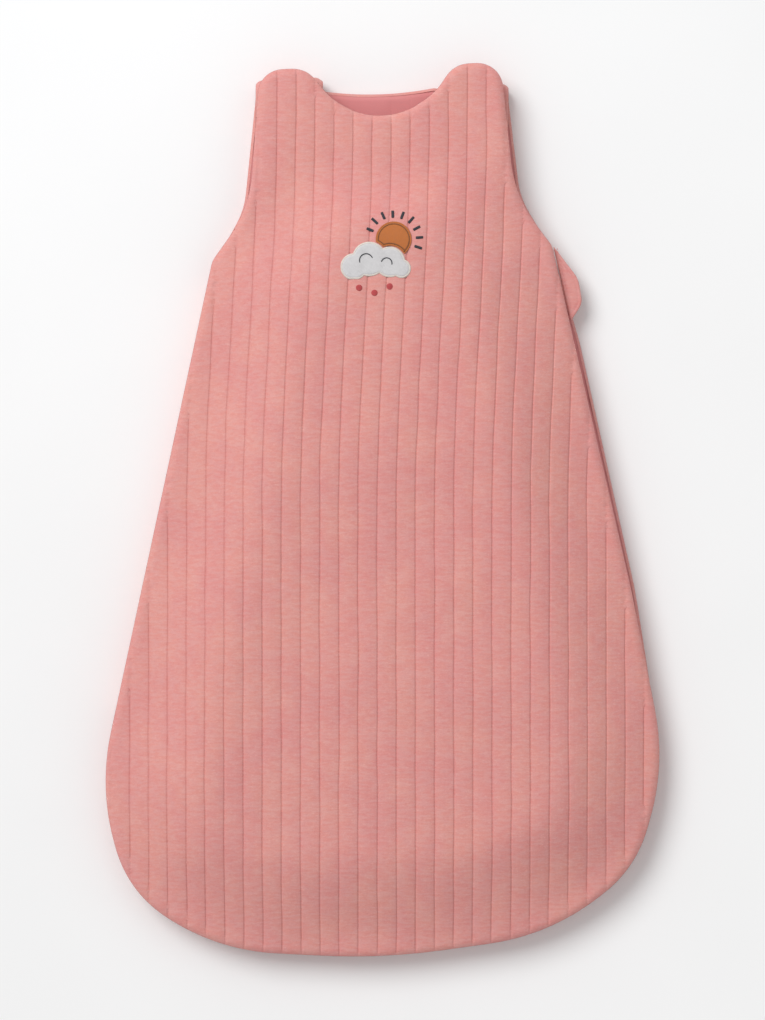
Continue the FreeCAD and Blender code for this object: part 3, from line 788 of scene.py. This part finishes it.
def woven_threads():
    """Close, even threads for tapes, sewn cloths and satin stitch."""
    tree, given = group("woven_threads", Color=(0.5, 0.5, 0.5, 1), Across=500.0, Along=500.0, Wear=0.2)
    here = node(tree, "ShaderNodeSeparateXYZ", {0: stretched(tree)}).outputs
    warp = maths(tree, "SINE", times(tree, here[0], given["Across"]))
    weft = maths(tree, "SINE", times(tree, plus(tree, here[1], here[2]), given["Along"]))
    threads = plus(tree, times(tree, warp, 0.5), times(tree, weft, 0.5))
    patch = uneven(tree, (350, 350, 350), 3.0, 0.6)
    shade = plus(tree, times(tree, threads, 0.03),
                 times(tree, maths(tree, "SUBTRACT", patch, 0.5), given["Wear"]))
    tone = node(tree, "ShaderNodeHueSaturation",
                {"Color": given["Color"], "Value": plus(tree, shade, 1.0)}).outputs[0]
    put_out(tree, tone, remap(tree, patch, 0.3, 0.7, 0.62, 0.85), plus(tree, threads, patch))


def handled_metal():
    """Small scratches and dulled patches of handled metal."""
    tree, given = group("handled_metal", Color=(0.7, 0.7, 0.7, 1), Dull=0.3)
    patch = uneven(tree, (180, 180, 180), 4.0, 0.6)
    scratch = uneven(tree, (240, 2600, 900), 2.0, 0.5, 0.5)
    worn = mixed(tree, remap(tree, patch, 0.45, 0.75, 0.0, 0.35), given["Color"], (0.85, 0.82, 0.78, 1))
    put_out(tree, worn, plus(tree, times(tree, patch, 0.25), given["Dull"]), scratch)


def finish_of(name, effect, values, bump, distance, **shader):
    """A material: one effect group, a bump and a shader with its own constants."""
    material = bpy.data.materials.new(name)
    material.use_nodes = True
    tree, surface = material.node_tree, material.node_tree.nodes["Principled BSDF"]
    made = tree.nodes.new("ShaderNodeGroup")
    made.node_tree = bpy.data.node_groups[effect]
    for label, value in values.items():
        made.inputs[label].default_value = value
    relief = node(tree, "ShaderNodeBump", {"Height": made.outputs["Height"], "Strength": bump,
                                           "Distance": distance})
    tree.links.new(made.outputs["Color"], surface.inputs["Base Color"])
    tree.links.new(made.outputs["Roughness"], surface.inputs["Roughness"])
    tree.links.new(relief.outputs[0], surface.inputs["Normal"])
    for label, value in shader.items():
        surface.inputs[label.replace("_", " ")].default_value = value
    return material


def opaque(colour):
    return (*colour, 1.0)


def make_materials():
    colours = bpy.context.scene.bag_colours
    for maker in (melange_knit, woven_threads, handled_metal):
        maker()
    cloth = {"Sheen_Weight": 0.10, "Sheen_Roughness": 0.5, "Specular_IOR_Level": 0.22}
    rose = {"Color": opaque(colours.rose), "Pale": opaque(colours.rose_pale),
            "Deep": opaque(colours.rose_deep)}
    finish_of("rose_jersey", "melange_knit", rose, 0.35, 0.4 * MM, **cloth)
    lining = {"Color": opaque(colours.lining), "Pale": opaque([min(c * 1.12, 1) for c in colours.lining]),
              "Deep": opaque([c * 0.88 for c in colours.lining]), "Streaks": 0.6}
    finish_of("lining_jersey", "melange_knit", lining, 0.35, 0.4 * MM, **cloth)
    fabrics = {"zip_tape_weave": (colours.lining, 2600.0, 2600.0),
               "sun_twill": (colours.ochre, 9000.0, 9000.0),
               "cloud_twill": (colours.white, 9000.0, 9000.0),
               "cream_satin": (colours.cream, 900.0, 9000.0),
               "charcoal_satin": (colours.charcoal, 7000.0, 2200.0),
               "brown_stitch": (colours.brown, 5000.0, 5000.0),
               "berry_satin": (colours.berry, 7600.0, 1800.0)}
    for name, (colour, across, along) in fabrics.items():
        values = {"Color": opaque(colour), "Across": across, "Along": along}
        finish_of(name, "woven_threads", values, 0.4, 0.3 * MM, Sheen_Weight=0.15, Specular_IOR_Level=0.3)
    fleece = {"Color": (0.85, 0.84, 0.82, 1), "Across": 900.0, "Along": 700.0}
    finish_of("wadding_fleece", "woven_threads", fleece, 0.5, 0.5 * MM, Specular_IOR_Level=0.2)
    finish_of("coil_nylon", "handled_metal", {"Color": opaque(colours.lining), "Dull": 0.28}, 0.1, 0.1 * MM)
    finish_of("slider_enamel", "handled_metal", {"Color": opaque(colours.zinc), "Dull": 0.22}, 0.1, 0.1 * MM,
              Coat_Weight=0.4)
    finish_of("stud_nickel", "handled_metal", {"Color": opaque(colours.nickel), "Dull": 0.18}, 0.15, 0.1 * MM,
              Metallic=1.0)


def finish(name):
    return bpy.data.materials[name]


def dress_node(name, material):
    """Gives a carried-over node its finish."""
    item = frame["nodes"][name]
    item.data.materials.clear()
    item.data.materials.append(finish(material))


# ---------------------------------------------------------------- pieces

KEY_FROM = Vector((-0.62, 0.66, 1.0))


class BAG_OT_stage(bpy.types.Operator):
    """Floor, camera and lamps"""
    bl_idname = "bag.stage"
    bl_label = "Stage"

    def execute(self, context):
        stage = context.scene.bag_stage
        floor = bpy.data.meshes.new("floor")
        size, under = 6.0, -0.4 * MM
        floor.from_pydata([(-size, -size, under), (size, -size, under), (size, size, under),
                           (-size, size, under)], [], [(0, 1, 2, 3)])
        piece = placed("floor", floor)
        paint = bpy.data.materials.new("pale_floor")
        paint.use_nodes = True
        tree = paint.node_tree
        surface = tree.nodes["Principled BSDF"]
        grain = uneven(tree, (6, 6, 6), 2.0, 0.5)
        tone = mixed(tree, remap(tree, grain, 0.3, 0.7), (0.90, 0.90, 0.90, 1), (0.912, 0.912, 0.912, 1))
        tree.links.new(tone, surface.inputs["Base Color"])
        surface.inputs["Roughness"].default_value = 0.9
        surface.inputs["Specular IOR Level"].default_value = 0.1
        floor.materials.append(paint)
        lens = bpy.data.cameras.new("camera")
        camera = placed("camera", lens)
        centre = [(a + b) / 2 for a, b in zip(*CAD_BOX)]
        camera.location = (centre[0], centre[1], stage.distance)
        lens.lens = lens.sensor_width * stage.distance / stage.view_height
        lens.clip_end = 60.0
        context.scene.camera = camera
        self.lamps(context, stage)
        context.scene.view_settings.view_transform = "Standard"
        return {"FINISHED"}

    def lamps(self, context, stage):
        key = bpy.data.lights.new("key", "SUN")
        key.energy = stage.key
        key.angle = math.radians(34)
        placed("key", key).rotation_euler = KEY_FROM.to_track_quat("Z", "Y").to_euler()
        fill = bpy.data.lights.new("fill", "AREA")
        fill.energy, fill.size, fill.color = stage.fill, 0.5, (0.95, 0.97, 1.0)
        placed("fill", fill).location = (-0.25, CAD_BOX[1][1] + 0.2, 0.75)
        world = bpy.data.worlds.new("studio")
        world.use_nodes = True
        tree = world.node_tree
        tree.nodes["Background"].inputs[0].default_value = (1, 1, 1, 1)
        tree.nodes["Background"].inputs[1].default_value = stage.sky
        context.scene.world = world


class BAG_OT_finishes(bpy.types.Operator):
    """Cloths, threads and metals, also on the parts carried over from the construction"""
    bl_idname = "bag.finishes"
    bl_label = "Finishes"

    def execute(self, context):
        make_materials()
        finishes = {"outer_jersey": "rose_jersey", "lining_jersey": "lining_jersey",
                    "wadding": "wadding_fleece", "zip_tape": "zip_tape_weave", "zip_coil": "coil_nylon",
                    "zip_metal": "slider_enamel", "snap_metal": "stud_nickel", "ochre_cloth": "sun_twill",
                    "white_cloth": "cloud_twill", "cream_binding": "cream_satin",
                    "charcoal_thread": "charcoal_satin", "rose_thread": "berry_satin"}
        for part in frame["record"]["subparts"]:
            dress_node(part["node"], finishes[part["material_slot"]])
        return {"FINISHED"}


class BAG_OT_front(bpy.types.Operator):
    """Quilted front with its shoulder tabs, and their lining"""
    bl_idname = "bag.front"
    bl_label = "Front"

    def execute(self, context):
        cloth = context.scene.bag_cloth
        rim = front_rim()
        top = Field(["front_outer", "left_tab_outer", "right_tab_outer"], True)
        shell = Shell(rim, cloth, 2.0, top.height, 1)
        for piece in split_front(shell.verts, shell.faces, "front_cloth", "_tab_cloth",
                                 finish("rose_jersey"), "outer_jersey", ("outer", "wadding")):
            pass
        for piece in split_front(*shell.lining(), "front_lining_cloth", "_tab_lining_cloth",
                                 finish("lining_jersey"), "lining_jersey", ("lining",)):
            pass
        SHARED["front"] = shell
        return {"FINISHED"}


class BAG_OT_back(bpy.types.Operator):
    """Quilted back with its lining, up to the turn of the straps"""
    bl_idname = "bag.back"
    bl_label = "Back"

    def execute(self, context):
        cloth = context.scene.bag_cloth
        turns = [StrapTurn(side) for side in ("left", "right")]
        rim = Rim(rim_loop("back_outer", False),
                  open_at=lambda p: any(turn.on_turn(p) for turn in turns))
        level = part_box("back_outer")[0][2]
        cloth_and_lining(Shell(rim, cloth, 7.0, lambda x, y: level, -1), "back")
        return {"FINISHED"}


class StrapTurn:
    """Where a shoulder strap turns over: its line across, its radius and its run forward."""

    def __init__(self, side):
        spots = spots_of(side + "_strap_outer")
        low, high = spots.min(axis=0), spots.max(axis=0)
        self.x = (float(low[0]), float(high[0]))
        near_low = spots[spots[:, 0] < low[0] + 0.1 * MM]
        near_high = spots[spots[:, 0] > high[0] - 0.1 * MM]
        tops = (float(near_low[:, 1].max()), float(near_high[:, 1].max()))
        self.slope = (tops[1] - tops[0]) / (self.x[1] - self.x[0])
        self.middle_z = float(low[2] + high[2]) / 2
        self.radius = self.middle_z - HALF
        self.fold = tops[0] - (self.radius + HALF)
        bottom = min(float((spots[:, 1] - self.slope * (spots[:, 0] - self.x[0])).min()), self.fold)
        self.reach = math.pi * self.radius + self.fold - bottom

    def fold_at(self, x):
        return self.fold + self.slope * (x - self.x[0])

    def on_turn(self, point):
        inside = self.x[0] + 0.2 * MM < point[0] < self.x[1] - 0.2 * MM
        return inside and abs(point[1] - self.fold_at(point[0])) < 0.4 * MM

    def place(self, x, run, lift):
        """A spot of the unrolled strap in its place; lift is outwards from its middle."""
        reach = self.radius + lift
        bend = min(max(run / self.radius, 0.0), math.pi)
        flat = max(run - math.pi * self.radius, 0.0) + max(-run, 0.0)
        y = self.fold_at(x) + reach * math.sin(bend) - flat
        return x, y, self.middle_z - reach * math.cos(bend)


STRAP_CORNER = 14 * MM


def rounded_box(x0, x1, y0, y1, radius):
    """A clockwise rectangle rounded at its upper corners."""
    points = [(x1, y0), (x0, y0)]
    for middle, start in (((x0 + radius, y1 - radius), math.pi), ((x1 - radius, y1 - radius), math.pi / 2)):
        for step in range(9):
            angle = start - math.pi / 2 * step / 8
            points.append((middle[0] + radius * math.cos(angle), middle[1] + radius * math.sin(angle)))
    return np.array(points)


class BAG_OT_straps(bpy.types.Operator):
    """Shoulder straps of the back, turned over towards the front"""
    bl_idname = "bag.straps"
    bl_label = "Straps"

    def execute(self, context):
        cloth = context.scene.bag_cloth
        for seed, side in ((11.0, "left"), (13.0, "right")):
            turn = StrapTurn(side)
            loop = rounded_box(*turn.x, 0.0, turn.reach, STRAP_CORNER)
            rim = Rim(loop, open_at=lambda p: abs(p[1]) < 0.3 * MM)
            cloth_and_lining(Shell(rim, cloth, seed, None, -1, turn.place), side + "_strap")
        return {"FINISHED"}


SATIN_SINK = 0.25 * MM  # how far satin stitch is pulled into the cloth at its sides


class BAG_OT_motif(bpy.types.Operator):
    """Sewn-on sun and cloud: cloths, satin-stitched edges and embroidery, laid on the front"""
    bl_idname = "bag.motif"
    bl_label = "Motif"

    def execute(self, context):
        shell = SHARED["front"]
        self.under = BVHTree.FromPolygons([tuple(v) for v in shell.verts], shell.faces.tolist())
        self.shell = shell
        cloud = rim_loop("applique_cloud", True)
        sun = rim_loop("applique_sun", True)
        self.cloth("cloud_cloth", cloud, "cloud_twill", "white_cloth", "applique_cloud", 0.85 * MM, 5.0)
        self.cloth("sun_cloth", sun, "sun_twill", "ochre_cloth", "applique_sun", 0.55 * MM, 9.0)
        edge = Rim(cloud, step=0.42 * MM)
        piece = self.satin("cloud_satin_edge", edge.loop, True, 1.05 * MM, 0.75 * MM, "cream_satin",
                           "cream_binding")
        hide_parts("applique_cloud_edge")
        self.sun_stitches(sun)
        self.rays()
        self.drops()
        self.curls(cloud)
        return {"FINISHED"}

    def level(self, x, y):
        """Top of the padded front at a spot, bridging its pressed lines."""
        hit = self.under.ray_cast(Vector((x, y, 1.0)), Vector((0, 0, -1)))[0]
        bridge = self.shell.face(x, y) + soft_waves(x, y, self.shell.seed) + 0.6 * self.shell.cloth.crown
        return max(hit.z, bridge) if hit else bridge

    def cloth(self, name, loop, material, slot, stands_for, rise, seed):
        """A cut cloth, pulled down at its edge and slightly creased."""
        rim = Rim(loop, step=0.9 * MM)
        points = filled(rim, (0.0, 0.5 * MM, 1.2 * MM, 2.2 * MM), 1.2 * MM, 2.9 * MM)
        verts = []
        for x, y in points:
            depth = max(rim.inside_depth((x, y)), 0)
            crease = abs(noise.noise(Vector((x * 90 + seed, y * 34, seed)))) * 0.55 * MM
            fray = abs(noise.noise(Vector((x * 330, y * 330, seed))))
            edge = fray * 0.35 * MM * math.exp(-depth / (3 * MM))
            lift = rise * roundness(depth, 1.6 * MM) + crease * float(ease(depth / (5 * MM))) + edge
            verts.append((x, y, self.level(x, y) + 0.12 * MM + lift))
        faces = upward(triangulated(points, len(rim.loop)), points, True)
        piece = object_from(name, verts, faces, finish(material))
        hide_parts(stands_for)
        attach(piece, "front_panel")

    def satin(self, name, path, closed, width, height, material, slot, lift=0.0):
        """A raised band of close stitches along a path."""
        path = np.asarray(path)
        along = np.gradient(path, axis=0)
        if closed:
            along = np.roll(path, -1, axis=0) - np.roll(path, 1, axis=0)
        along = along / np.maximum(np.linalg.norm(along, axis=1), 1e-9)[:, None]
        side = np.stack([along[:, 1], -along[:, 0]], axis=1)
        verts, cross = [], 7
        for i, (spot, across) in enumerate(zip(path, side)):
            ends = 1.0 if closed else roundness(min(i, len(path) - 1 - i) + 0.35, 3.0)
            thread = 1.0 + (0.14 if i % 2 else -0.05)
            base = self.level(*spot) + lift
            for k in range(cross):
                angle = math.pi * k / (cross - 1)
                x, y = spot + across * math.cos(angle) * width * (0.75 + 0.25 * ends) * (0.97 + 0.03 * thread)
                rise = (height * thread * ends + SATIN_SINK) * math.sin(angle)
                verts.append((x, y, base - SATIN_SINK + rise))
        faces = grid(len(path), cross, looped=closed)
        piece = facing_out(object_from(name, verts, faces, finish(material)))
        if sum(polygon.normal.z for polygon in piece.data.polygons) < 0:
            piece.data.flip_normals()
        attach(piece, "front_panel")
        return piece

    def sun_stitches(self, loop):
        """Brown outline stitch inside the edge of the sun, and a narrow turned edge."""
        rim = Rim(loop, step=0.5 * MM)
        inner = rim.loop + rim.inward * 0.5 * MM
        self.satin("sun_satin_edge", inner, True, 0.55 * MM, 0.55 * MM, "sun_twill", "ochre_cloth", 0.35 * MM)
        line = rim.loop + rim.inward * 1.9 * MM
        self.satin("sun_outline_stitch", softened(line, 4), True, 0.5 * MM, 0.5 * MM, "brown_stitch",
                   "charcoal_thread", 0.75 * MM)

    def islands(self, name):
        """The middles and outlines of a node's separate flat parts."""
        mesh = node_mesh(name)
        left, found = set(mesh.verts), []
        while left:
            reached, edge = set(), [next(iter(left))]
            while edge:
                vert = edge.pop()
                if vert in reached:
                    continue
                reached.add(vert)
                edge += [e.other_vert(vert) for e in vert.link_edges]
            left -= reached
            found.append(np.array([tuple(v.co)[:2] for v in reached]))
        mesh.free()
        return sorted(found, key=lambda spots: float(spots[:, 0].mean()))

    def rays(self):
        """Satin bars round the sun, thicker in their middles."""
        pieces = []
        for spots in self.islands("applique_sun_rays"):
            middle = spots.mean(axis=0)
            _, _, axes = np.linalg.svd(spots - middle)
            reach = np.abs((spots - middle) @ axes[0]).max()
            path = [middle + axes[0] * t for t in np.arange(-reach, reach, 0.36 * MM)]
            pieces.append(self.satin("ray", path, False, 1.15 * MM, 0.8 * MM, "charcoal_satin",
                                     "charcoal_thread"))
        self.join(pieces, "sun_rays_satin", "applique_sun_rays")

    def drops(self):
        """Round satin dots under the cloud."""
        pieces = []
        for spots in self.islands("applique_drops"):
            middle = spots.mean(axis=0)
            radius = np.linalg.norm(spots - middle, axis=1).max()
            verts, steps = [], 22
            base = self.level(*middle)
            for i in range(steps + 1):
                y = -radius + 2 * radius * i / steps
                half = math.sqrt(max(radius ** 2 - y ** 2, 0.0)) + 0.05 * MM
                thread = 1.0 + (0.16 if i % 2 else -0.06)
                for k in range(9):
                    t = -1 + 2 * k / 8
                    dome = math.sqrt(max(1 - t * t, 0.0)) * (half / radius) ** 0.5
                    verts.append((middle[0] + half * t, middle[1] + y,
                                  base + 0.05 * MM + 0.8 * MM * dome * thread))
            piece = object_from("drop", verts, grid(steps + 1, 9), finish("berry_satin"))
            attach(piece, "front_panel")
            pieces.append(piece)
        self.join(pieces, "drops_satin", "applique_drops")

    def curls(self, loop):
        """Two embroidered curls inside the cloud."""
        low, high = loop.min(axis=0), loop.max(axis=0)
        size = high - low
        pieces = []
        for fx, fy, radius, first, last in ((0.36, 0.50, 5.2, 20, 200), (0.66, 0.42, 4.2, -15, 165)):
            middle = low + size * np.array((fx, fy))
            steps = int(radius * math.radians(last - first) / 0.42)
            path = [middle + radius * MM * np.array((math.cos(math.radians(a)), math.sin(math.radians(a))))
                    for a in np.linspace(first, last, steps)]
            pieces.append(self.satin("curl", path, False, 0.48 * MM, 0.55 * MM, "charcoal_satin",
                                     "charcoal_thread", 1.0 * MM))
        self.join(pieces, "cloud_curls")

    def join(self, pieces, name, stands_for=None):
        """Like pieces as one."""
        mesh = bmesh.new()
        for piece in pieces:
            mesh.from_mesh(piece.data)
        joined = pieces[0]
        mesh.to_mesh(joined.data)
        mesh.free()
        joined.data.shade_smooth()
        joined.name = name
        for piece in pieces[1:]:
            bpy.data.objects.remove(piece)
        if stands_for:
            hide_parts(stands_for)


def ends_of(name):
    """A node's ends nearest the neck on the right and on the left."""
    spots = spots_of(name)
    right, left = spots[spots[:, 0] > 0], spots[spots[:, 0] < 0]
    return right[np.argmax(right[:, 1])][:2], left[np.argmax(left[:, 1])][:2]


class BAG_OT_side_seam(bpy.types.Operator):
    """Cloth that joins the back and the front along the left side, where the bag opens like a book"""
    bl_idname = "bag.side_seam"
    bl_label = "Side seam"

    def execute(self, context):
        rim = SHARED["front"].rim
        low_end, high_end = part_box("back_side_seam")
        x, y = rim.fine[:, 0], rim.fine[:, 1]
        spots = rim.fine[(x < 0) & (y > low_end[1]) & (y < high_end[1])]
        first, last = spots[np.argmin(spots[:, 1])], spots[np.argmax(spots[:, 1])]
        places, inward = spaced(*rim_run(rim, first, last), 2.2 * MM)
        low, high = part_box("back_outer")[1][2] - 1.6 * MM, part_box("front_side_seam")[1][2] + 1.6 * MM

        def profile(i):
            out = []
            soft = noise.noise(Vector((i * 0.23, 3.1, 0))) * 0.5 * MM
            for k in range(13):
                t = k / 12
                pinch = math.exp(-((t - 0.5) / 0.07) ** 2)
                bulge = 3.6 * MM - 2.0 * MM * math.sin(math.pi * t) ** 0.7
                out.append((bulge + 1.1 * MM * pinch + soft * (1 - pinch), low + (high - low) * t))
            return out
        piece = strip("side_seam_cloth", places, inward, profile, "rose_jersey")
        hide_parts("back_side_seam", "front_side_seam")
        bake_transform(piece)
        return {"FINISHED"}


TAPE_DEPTH = 4.3 * MM
STITCH_DEPTH = 2.6 * MM


class BAG_OT_zip(bpy.types.Operator):
    """Zip tapes, coils, stops, box, slider and pull"""
    bl_idname = "bag.zip"
    bl_label = "Zip"

    def execute(self, context):
        rim = SHARED["front"].rim
        for side, body in (("back", "back_panel"), ("front", "front_panel")):
            self.tape(rim, side, body)
            self.coil(rim, side, body)
            eased_copy(side + "_top_stop", side + "_zip_top_stop", "slider_enamel", body,
                       0.25 * MM)
        for name, source, body, bevel in (("bottom_box", "zip_bottom_box", "back_panel", 0.3),
                                          ("slider_body", "zip_slider", "zip_slider", 0.28),
                                          ("slider_pull", "zip_pull", "zip_pull", 0.3)):
            eased_copy(name, source, "slider_enamel", body, bevel * MM)
        return {"FINISHED"}

    def tape(self, rim, side, body):
        """A woven tape on edge, whose other edge is turned into its panel."""
        name = side + "_zip_tape"
        places, inward = spaced(*rim_run(rim, *ends_of(name)), 3.0 * MM)
        low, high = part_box(name)[0][2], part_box(name)[1][2]
        edge, into = (high, -1) if side == "back" else (low, 1)
        rise, turn, width = high - low + 0.4 * MM, 1.2 * MM, 11.5 * MM
        seed = 1.7 if side == "back" else 4.2

        def profile(i):
            wave = noise.noise(Vector((i * 0.35, seed, 0))) * 0.2 * MM
            line = [(TAPE_DEPTH + wave * t * (1 - t) * 4, edge + into * rise * t)
                    for t in (0.0, 0.25, 0.5, 0.75, 1.0)]
            for angle in (30, 60, 90):
                bend = math.radians(angle)
                line.append((TAPE_DEPTH + turn * (1 - math.cos(bend)),
                             edge + into * (rise + turn * math.sin(bend))))
            last = line[-1]
            return line + [(last[0] + width - rise - turn * math.pi / 2, last[1])]
        piece = strip(side + "_tape", places, inward, profile, "zip_tape_weave")
        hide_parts(name)
        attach(piece, body)

    def coil(self, rim, side, body):
        """Nylon teeth on the tape's edge."""
        name = side + "_zip_coil"
        places, inward = spaced(*rim_run(rim, *ends_of(name)), 1.45 * MM)
        low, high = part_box(name)[0][2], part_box(name)[1][2]
        piece = bead_row(side + "_coil", places, inward, TAPE_DEPTH, low, high, 0.95 * MM, 2.0 * MM,
                         "coil_nylon")
        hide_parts(name)
        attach(piece, body)


class BAG_OT_guard(bpy.types.Operator):
    """Soft flap that keeps the top of the zip away from the baby, with its sewn edge"""
    bl_idname = "bag.guard"
    bl_label = "Zip guard"

    def execute(self, context):
        rim = Rim(rim_loop("guard_outer", True), step=1.3 * MM)
        low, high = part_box("guard_lining")[0][2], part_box("guard_outer")[1][2]
        middle, half = (low + high) / 2, (high - low) / 2
        rings = [ring * MM for ring in (0.0, 0.3, 0.8, 1.6, 2.3, 2.8, 3.4, 4.6, 6.0)]
        points = filled(rim, rings, 2.0 * MM, 7.2 * MM)
        triangles = triangulated(points, len(rim.loop))
        verts, faces = [], []
        for up in (True, False):
            base = len(verts)
            sign = 1 if up else -1
            for x, y in points:
                depth = rim.inside_depth((x, y))
                stitch = math.exp(-((depth - STITCH_DEPTH) / (0.45 * MM)) ** 2) * 0.42 * MM
                ripple = noise.noise(Vector((x * 120, y * 120, 2.0))) * 0.22 * MM
                ripple *= float(ease(depth / (4 * MM)))
                lift = half * roundness(max(depth, 0), 2.0 * MM) - stitch + ripple * (1 if up else 0.4)
                verts.append((x, y, middle + sign * max(lift, 0.0)))
            faces += [[base + i for i in face] for face in upward(triangles, points, up)]
        piece = object_from("guard_cloth", verts, faces, finish("rose_jersey"))
        mesh = bmesh.new()
        mesh.from_mesh(piece.data)
        bmesh.ops.remove_doubles(mesh, verts=mesh.verts, dist=2e-5)
        mesh.to_mesh(piece.data)
        mesh.free()
        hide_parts("guard_outer", "guard_lining")
        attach(piece, "zip_guard")
        self.stitches(rim, middle + half)
        seam = eased_copy("guard_sewn_edge", "guard_seam", "rose_jersey", "front_panel",
                          0.25 * MM)
        return {"FINISHED"}

    def stitches(self, rim, top):
        """Edge stitching: short threads laid in the pressed line."""
        closed = np.vstack([rim.loop, rim.loop[:1]])
        normals = np.vstack([rim.inward, rim.inward[:1]])
        places, inward = spaced(closed, normals, 2.6 * MM)
        piece = bead_row("guard_stitches", places, inward, STITCH_DEPTH, top - 0.62 * MM, top - 0.22 * MM,
                         1.9 * MM, 0.45 * MM, "lining_jersey")
        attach(piece, "zip_guard")


class BAG_OT_studs(bpy.types.Operator):
    """Press studs: flanged posts on the straps, cups under the tabs, and the rings they are riveted to"""
    bl_idname = "bag.studs"
    bl_label = "Press studs"

    def execute(self, context):
        for side in ("left", "right"):
            tab = side + "_shoulder_tab"
            for name, source, body in (("strap_posts", "strap_studs", "back_panel"),
                                       ("tab_cups", "tab_sockets", tab),
                                       ("strap_fixing_rings", "strap_stud_rings", "back_panel"),
                                       ("tab_fixing_rings", "tab_socket_rings", tab)):
                eased_copy(side + "_" + name, side + "_" + source, "stud_nickel", body,
                           0.22 * MM)
        return {"FINISHED"}


PIECES = (BAG_OT_stage, BAG_OT_finishes, BAG_OT_front, BAG_OT_back, BAG_OT_straps, BAG_OT_side_seam,
          BAG_OT_zip, BAG_OT_guard, BAG_OT_studs, BAG_OT_motif)


class BAG_PT_panel(bpy.types.Panel):
    """Steps that dress the sleeping bag"""
    bl_idname = "BAG_PT_panel"
    bl_label = "Sleeping Bag"
    bl_space_type = "VIEW_3D"
    bl_region_type = "UI"
    bl_category = "Sleeping Bag"

    def draw(self, context):
        for group_name in ("bag_cloth", "bag_colours", "bag_stage"):
            settings = getattr(context.scene, group_name)
            box = self.layout.box()
            for key in settings.__annotations__:
                box.prop(settings, key)
        for piece in PIECES:
            self.layout.operator(piece.bl_idname)


SETTINGS = {"bag_cloth": BagCloth, "bag_colours": BagColours, "bag_stage": BagStage}


def register():
    for name, kind in SETTINGS.items():
        bpy.utils.register_class(kind)
        setattr(bpy.types.Scene, name, bpy.props.PointerProperty(type=kind))
    for kind in (*PIECES, BAG_PT_panel):
        bpy.utils.register_class(kind)


def unregister():
    for kind in (BAG_PT_panel, *reversed(PIECES)):
        bpy.utils.unregister_class(kind)
    for name, kind in SETTINGS.items():
        delattr(bpy.types.Scene, name)
        bpy.utils.unregister_class(kind)


def main():
    register()
    for piece in PIECES:
        area, step = piece.bl_idname.split(".")
        getattr(getattr(bpy.ops, area), step)()


if __name__ == "__main__":
    main()
